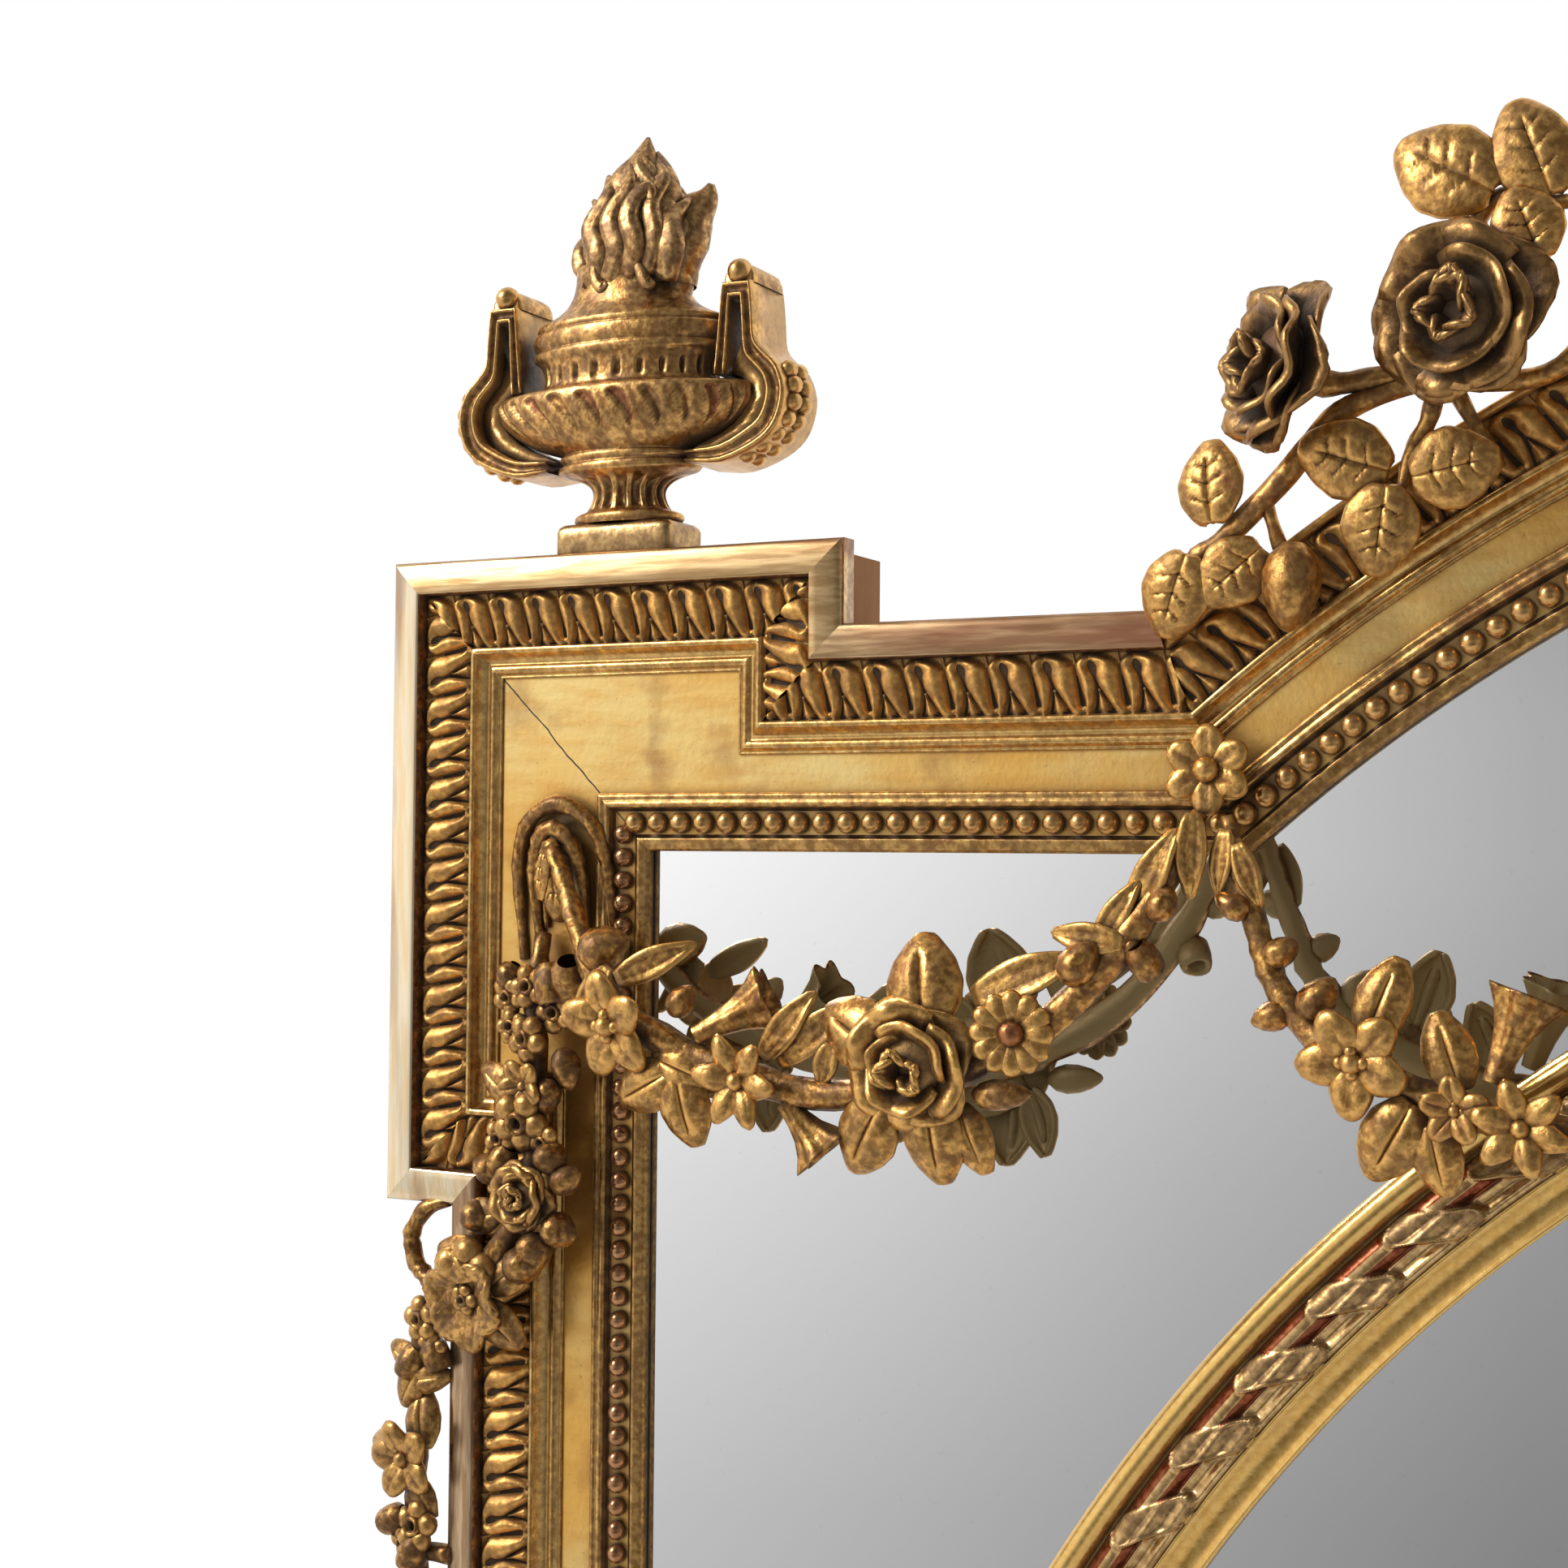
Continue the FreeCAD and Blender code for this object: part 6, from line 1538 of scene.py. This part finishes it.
drop = Spray()
drop.stem(
    [
        (-634, 1372, 36), (-634, 1352, 41), (-633, 1320, 42), (-633, 1290, 43), (-640, 1264, 47),
        (-656, 1243, 48), (-674, 1234, 44), (-683, 1222, 40), (-686, 1195, 38), (-687, 1160, 38),
        (-685, 1130, 38), (-685, 1100, 38), (-685, 1070, 38),
    ],
    [3, 4, 4.5, 4.5, 4.5, 4.5, 4, 4, 4, 4, 3.6, 3.2, 2.0],
)
drop.stem([(-633, 1318, 31), (-633, 1318.4, 42)], PEG)
drop.stem([(-670, 1140.2, 38), (-684, 1140, 38)], PEG)
drop.stem(
    [
        (-674, 1271, 37), (-683, 1268, 38), (-689, 1260, 39), (-688, 1250, 40), (-682, 1243, 41),
        (-674, 1239, 43),
    ],
    [2.4, 3.0, 3.3, 3.4, 3.4, 3.2], 12,
)
for spot, radius in (
    ((-643, 1349, 45), 7.5),
    ((-633, 1353, 47), 8.0),
    ((-622, 1344, 46), 8.0),
    ((-633, 1334, 48), 9.0),
    ((-641, 1338, 46), 6.5),
    ((-635, 1304, 49), 11.0),
    ((-625, 1297, 48), 7.0),
    ((-645, 1297, 47), 7.0),
    ((-682, 1227, 43), 8.5),
    ((-677, 1217, 43), 6.5),
    ((-684, 1150, 42), 9.5),
    ((-690, 1143, 41), 6.5),
    ((-686, 1112, 42), 10.0),
    ((-685, 1092, 41), 7.0),
):
    posy(drop, spot, radius, (chance.uniform(-18, 4), chance.uniform(-14, 8)), chance.uniform(0, 70))
bloom(drop, (-634, 1317, 47), 11, 5, 0.8, 22, (-6, -6), 30, 0.1, 0)
bloom(drop, (-688, 1175, 43), 16, 5, 0.8, 16, (-10, -4), 18, 0.15, 0)
rose(drop, (-633, 1277, 50), 13.5, (-5, -8), 30)
for i in range(CORNER_PETALS):
    bit = petal(20, 19, 20, 0.1, 0.14, rib=-1.1, thick=2.8, wave=0.045, start=0.1)
    drop.set(*bit, (-657, 1238, 47), CORNER_LEAN, 360 / CORNER_PETALS * i + 14)
posy(drop, (-657, 1238, 51), 6.0, CORNER_LEAN)
for spot in ((-663, 1251, 52), (-655, 1255, 52), (-649, 1250, 52)):
    drop.bead(spot, 6.2)
for spot, length, radius, spin, drilled in (
    ((-624, 1362, 47), 15, 7.5, 190, True),
    ((-641, 1361, 44), 12, 5.5, 150, False),
    ((-620, 1331, 45), 16, 5.6, 196, False),
    ((-624, 1320, 46), 14, 5.0, 170, False),
    ((-626, 1296, 48), 13, 6.4, 215, False),
    ((-641, 1294, 47), 12, 5.6, 150, True),
    ((-621, 1281, 48), 13, 5.6, -60, False),
    ((-624, 1268, 49), 14, 6.6, -110, False),
    ((-630, 1264, 49), 14, 7.0, 195, False),
    ((-645, 1284, 47), 12, 6.0, 70, False),
    ((-650, 1270, 47), 13, 6.2, 110, False),
    ((-640, 1251, 50), 16, 7.0, -80, False),
    ((-684, 1216, 41), 12, 6.0, 150, True),
    ((-678, 1220, 42), 12, 5.5, 200, True),
    ((-683, 1146, 42), 12, 6.0, 160, True),
    ((-690, 1154, 41), 11, 5.4, 120, True),
    ((-685, 1134, 40), 18, 7.5, 180, False),
    ((-682, 1100, 40), 12, 5.0, 210, False),
    ((-685, 1080, 39), 16, 5.0, 180, False),
):
    bud(drop, spot, length, radius, spin, (0, 0), drilled)
leaves(
    drop,
    ((-647, 1317, 44), 22, 13, 60, (-10, 0)),
    ((-644, 1310, 44), 18, 11, 140, (-10, -8)),
    ((-654, 1268, 46), 18, 13, 100, (-10, 0)),
    ((-660, 1253, 51), 24, 17, 70, (-12, 20)),
    ((-638, 1249, 49), 20, 14, -50, (10, 12)),
    ((-643, 1229, 48), 22, 16, 220, (10, -14)),
    ((-691, 1212, 40), 18, 11, 70, (-16, 0)),
    ((-680, 1205, 41), 18, 11, -80, (10, 0)),
    ((-688, 1201, 41), 18, 12, 150, (-8, -8)),
    ((-682, 1190, 41), 22, 15, 10, (0, 14)),
    ((-698, 1177, 40), 20, 15, 84, (-18, 0)),
    ((-682, 1160, 40), 16, 10, 210, (8, 0)),
    ((-692, 1124, 39), 18, 11, 60, (-10, 0)),
    ((-678, 1122, 39), 18, 11, -60, (10, 0)),
    point=0.15,
    veins=False,
)
drop.fit("flower_drop_left", "drop_flowers_left", [drop_gold_shaded, bole_worn], "gilt_flowers")

# Rose crest: branches of roses carved from limewood, standing on the arch, with a bouquet at its crown.
# The stems are pegged to the arch; the leaves are broad, puffed, and engraved with veins.
STEM_SLIM = 0.8

rose_gold = gilding(
    "rose_gold", (0.5, 0.275, 0.095), (0.165, 0.082, 0.034), 0.28, 0.45, 0.66, 1.0, 0.02, True,
)
leaf_gold = gilding("leaf_gold", (0.86, 0.49, 0.15), (0.46, 0.22, 0.064), 0.3, 0.6, 0.58, 1.0, 0.006, True)


def dark_roses(spray, *rows):
    """Roses in the darker gold, given as place, radius, lean and spin."""
    first = len(spray.faces)
    for row in rows:
        rose(spray, *row)
    spray.choice[first:] = [1] * (len(spray.faces) - first)


crest = Spray()
for path, widths in (
    (
        [
            (-390, 1482, 42), (-384, 1496, 44), (-372, 1504, 45), (-353, 1522, 46), (-339, 1538, 46),
            (-323, 1545, 46), (-306, 1549, 46),
        ],
        [3.0, 4.0, 4.4, 4.6, 4.6, 4.6, 4.2],
    ),
    ([(-350, 1552, 47), (-338, 1549, 47), (-324, 1550, 47), (-306, 1553, 46)], [6.0, 5.0, 4.0, 3.6]),
    ([(-306, 1549, 46), (-309, 1535, 47), (-314, 1526, 47), (-317, 1514, 48)], [3.6, 3.6, 3.2, 2.0]),
    ([(-314, 1526, 47), (-309, 1521, 48), (-304, 1521, 49)], [2.6, 2.4, 1.8]),
    ([(-378, 1510, 45), (-377, 1518, 46)], [2.2, 1.8]),
    (
        [
            (-306, 1549, 46), (-290, 1546, 45), (-270, 1549, 45), (-250, 1572, 45), (-205, 1612, 45),
            (-150, 1632, 45), (-104, 1640, 45),
        ],
        [4.2, 4.4, 4.4, 4.4, 4.2, 3.8, 3.0],
    ),
    (
        [
            (-296, 1580, 46), (-293, 1598, 46), (-282, 1602, 46), (-268, 1598, 46), (-240, 1606, 45),
            (-214, 1610, 45),
        ],
        [4.0, 3.8, 3.4, 3.2, 3.0, 2.4],
    ),
    ([(-352, 1484, 38), (-356, 1500, 43), (-360, 1514, 45)], [3.2, 3.0, 2.6]),
    ([(-352, 1483, 36), (-352, 1484, 42)], PEG),
    ([(-290, 1521, 37), (-296, 1534, 44), (-302, 1546, 46)], [3.4, 3.0, 3.0]),
    ([(-232, 1563, 37), (-238, 1574, 43), (-244, 1578, 45)], [3.4, 3.0, 3.0]),
    ([(-143, 1592, 37), (-146, 1612, 43), (-150, 1630, 45)], [3.4, 3.0, 3.0]),
):
    crest.stem(path, [width * STEM_SLIM for width in widths], 10)
leaves(
    crest,
    ((-389, 1485, 48), 28, 24, 160, (-8, -10)),
    ((-370, 1491, 49), 25, 22, 130, (6, -6)),
    ((-377, 1521, 49), 27, 23, 4, (-12, 6)),
    ((-334, 1525, 51), 29, 25, 70, (0, -8)),
    ((-323, 1502, 50), 28, 24, 170, (4, -12)),
    ((-300, 1520, 51), 26, 25, -80, (8, -6)),
    ((-304, 1612, 49), 36, 29, 56, (-8, 6)),
    ((-278, 1615, 49), 33, 25, 20, (4, 8)),
    ((-279, 1591, 53), 23, 22, 20, (6, 0)),
    ((-252, 1574, 50), 30, 24, 130, (0, -8)),
    ((-236, 1628, 49), 34, 26, 20, (0, 8)),
    ((-180, 1588, 50), 31, 25, 200, (0, -10)),
    ((-176, 1644, 49), 34, 26, 10, (0, 8)),
    ((-140, 1614, 50), 31, 25, 190, (0, -10)),
    ((-120, 1656, 49), 31, 24, -20, (0, 8)),
    point=0.18,
)
bud(crest, (-350, 1500, 48), 28, 9.5, 176, (14, 0))
dark_roses(
    crest,
    ((-354, 1555, 54), 27, (-44, 14), 30),
    ((-298, 1566, 54), 28, (-14, -4), 10),
    ((-205, 1622, 53), 27, (6, 4), 60),
)
crest.fit("crest_spray_left", "crest_roses_left", [leaf_gold, rose_gold], "gilt_flowers")

bouquet = Spray()
bouquet.stem([(0, 1594, 41), (0, 1650, 45), (0, 1710, 44)], [4.2, 4.2, 2.2], 10)
bouquet.stem(
    [(-68, 1654, 44), (-30, 1632, 45), (0, 1622, 45), (30, 1632, 45), (68, 1654, 44)],
    [2.4, 3.8, 4.2, 3.8, 2.4], 10,
)
for side in (-1, 1):
    bouquet.stem([(40 * side, 1592, 37), (42 * side, 1600, 42), (46 * side, 1640, 45)], [3.4, 3.4, 3.0], 10)
    leaves(
        bouquet,
        ((30 * side, 1690, 48), 36, 27, -40 * side, (0, 8)),
        ((73 * side, 1660, 48), 32, 25, -66 * side, (0, 4)),
        ((28 * side, 1613, 49), 30, 24, 150 * side, (0, -10)),
    )
bouquet.stem([(0, 1594, 36), (0, 1594.6, 42)], PEG)
leaves(bouquet, ((0, 1704, 48), 38, 28, 0, (0, 8)))
dark_roses(
    bouquet,
    ((0, 1654, 53), 31, (0, -4), 0),
    ((-50, 1640, 52), 23, (-24, 0), 40),
    ((50, 1640, 52), 23, (24, 0), 80),
)
bouquet.fit("crest_bouquet", "crest_bouquet_roses", [leaf_gold, rose_gold], "gilt_flowers")

# Studio: a pale floor under the mirror, soft light from the left, white behind.
# The room in front falls from near white on the left to mid grey on the right, and the glass shows it.
FLOOR_WIDE = 2.6
FLOOR_DEEP = 2.0
FLOOR_LEVEL = -0.002

floor_mesh = bpy.data.meshes.new("studio_floor")
corners = [(FLOOR_WIDE * x, FLOOR_DEEP * y, FLOOR_LEVEL) for x, y in ((-1, -1), (1, -1), (1, 1), (-1, 1))]
floor_mesh.from_pydata(corners, [], [(0, 1, 2, 3)])
floor = bpy.data.objects.new("studio_floor", floor_mesh)
bpy.context.scene.collection.objects.link(floor)
pale = Finish("pale_floor")
pale.lay("Base Color", pale.blend(pale.noise(2, 2), (0.8, 0.8, 0.8), (0.84, 0.84, 0.84)))
pale.lay("Roughness", 0.7)
floor_mesh.materials.append(pale.material)

ACROSS_ROOM = (
    (-1.0, 1.0), (-0.72, 1.0), (-0.5, 0.97), (-0.4, 0.8), (-0.3, 0.62), (-0.17, 0.435),
    (0.05, 0.28), (0.35, 0.2), (0.7, 0.34), (1.0, 0.42),
)
UP_ROOM = (
    (-1.0, 0.42), (-0.55, 0.36), (-0.26, 0.58), (-0.13, 0.77), (0.0, 1.0), (0.06, 1.0), (0.25, 0.66),
    (0.5, 0.42), (0.8, 0.55), (1.0, 0.75),
)
ACROSS_WALL = ((-1.0, 0.9), (-0.6, 0.9), (-0.475, 0.0))
UP_WALL = ((-1.0, 0.45), (-0.5, 0.85), (0.0, 1.0), (0.35, 0.8), (1.0, 0.4))
BEHIND = ((-0.06, 0.0), (0.02, 1.0))


def studio_room():
    """A room of soft grey walls: brightest on the left, darker low and on the right, white behind."""
    world = bpy.data.worlds.new("studio_room")
    bpy.context.scene.world = world
    world.use_nodes = True
    room = Coats(world.node_tree)
    look = room.node("ShaderNodeSeparateXYZ")
    room.wire(room.node("ShaderNodeTexCoord").outputs["Generated"], look.inputs[0])

    def shade(axis, stops):
        """Grey levels along one axis, from -1 to 1."""
        share = room.maths("MULTIPLY_ADD", look.outputs[axis], 0.5, 0.5)
        return room.ramp(share, *((0.5 + 0.5 * spot, level) for spot, level in stops))

    front = room.times(shade("X", ACROSS_ROOM), shade("Z", UP_ROOM))
    wall = room.times(shade("X", ACROSS_WALL), shade("Z", UP_WALL))
    mixed = room.node("ShaderNodeMix")
    room.wire(shade("Y", BEHIND), mixed.inputs[0])
    room.wire(room.maths("MAXIMUM", front, wall), mixed.inputs[2])
    room.wire(1.0, mixed.inputs[3])
    backdrop = room.tree.nodes["Background"]
    room.wire(mixed.outputs[0], backdrop.inputs["Strength"])
    room.wire((1, 1, 1, 1), backdrop.inputs["Color"])


studio_room()

KEY_SPOT = (-2.2, -1.5, 2.9)
KEY_AIM = (-0.45, 0.0, 1.4)
KEY_WIDE = 0.7
KEY_HIGH = 1.0
KEY_POWER = 42
VIEW_SPOT = (-0.15, -0.776, 1.4)
VIEW_RIGHT = (0.88737, 0.46099, 0.00855)
VIEW_AHEAD = (-0.461, 0.8868, 0.0318)
VIEW_LENS = 54.6

key = bpy.data.lights.new("key_lamp", "AREA")
key.shape = "RECTANGLE"
key.size = KEY_WIDE
key.size_y = KEY_HIGH
key.energy = KEY_POWER
key_lamp = bpy.data.objects.new("key_lamp", key)
key_lamp.location = KEY_SPOT
key_lamp.rotation_euler = (Vector(KEY_AIM) - Vector(KEY_SPOT)).to_track_quat("-Z", "Y").to_euler()
bpy.context.scene.collection.objects.link(key_lamp)

camera_data = bpy.data.cameras.new("camera")
camera_data.sensor_fit = "HORIZONTAL"
camera_data.sensor_width = 36.0
camera_data.lens = VIEW_LENS
camera_data.clip_start = 0.02
camera = bpy.data.objects.new("camera", camera_data)
camera.location = VIEW_SPOT
right = Vector(VIEW_RIGHT).normalized()
ahead = Vector(VIEW_AHEAD).normalized()
above = right.cross(ahead).normalized()
camera.rotation_euler = Matrix((right, above, -ahead)).transposed().to_euler()
bpy.context.scene.collection.objects.link(camera)
bpy.context.scene.camera = camera
bpy.context.scene.view_settings.view_transform = "Standard"
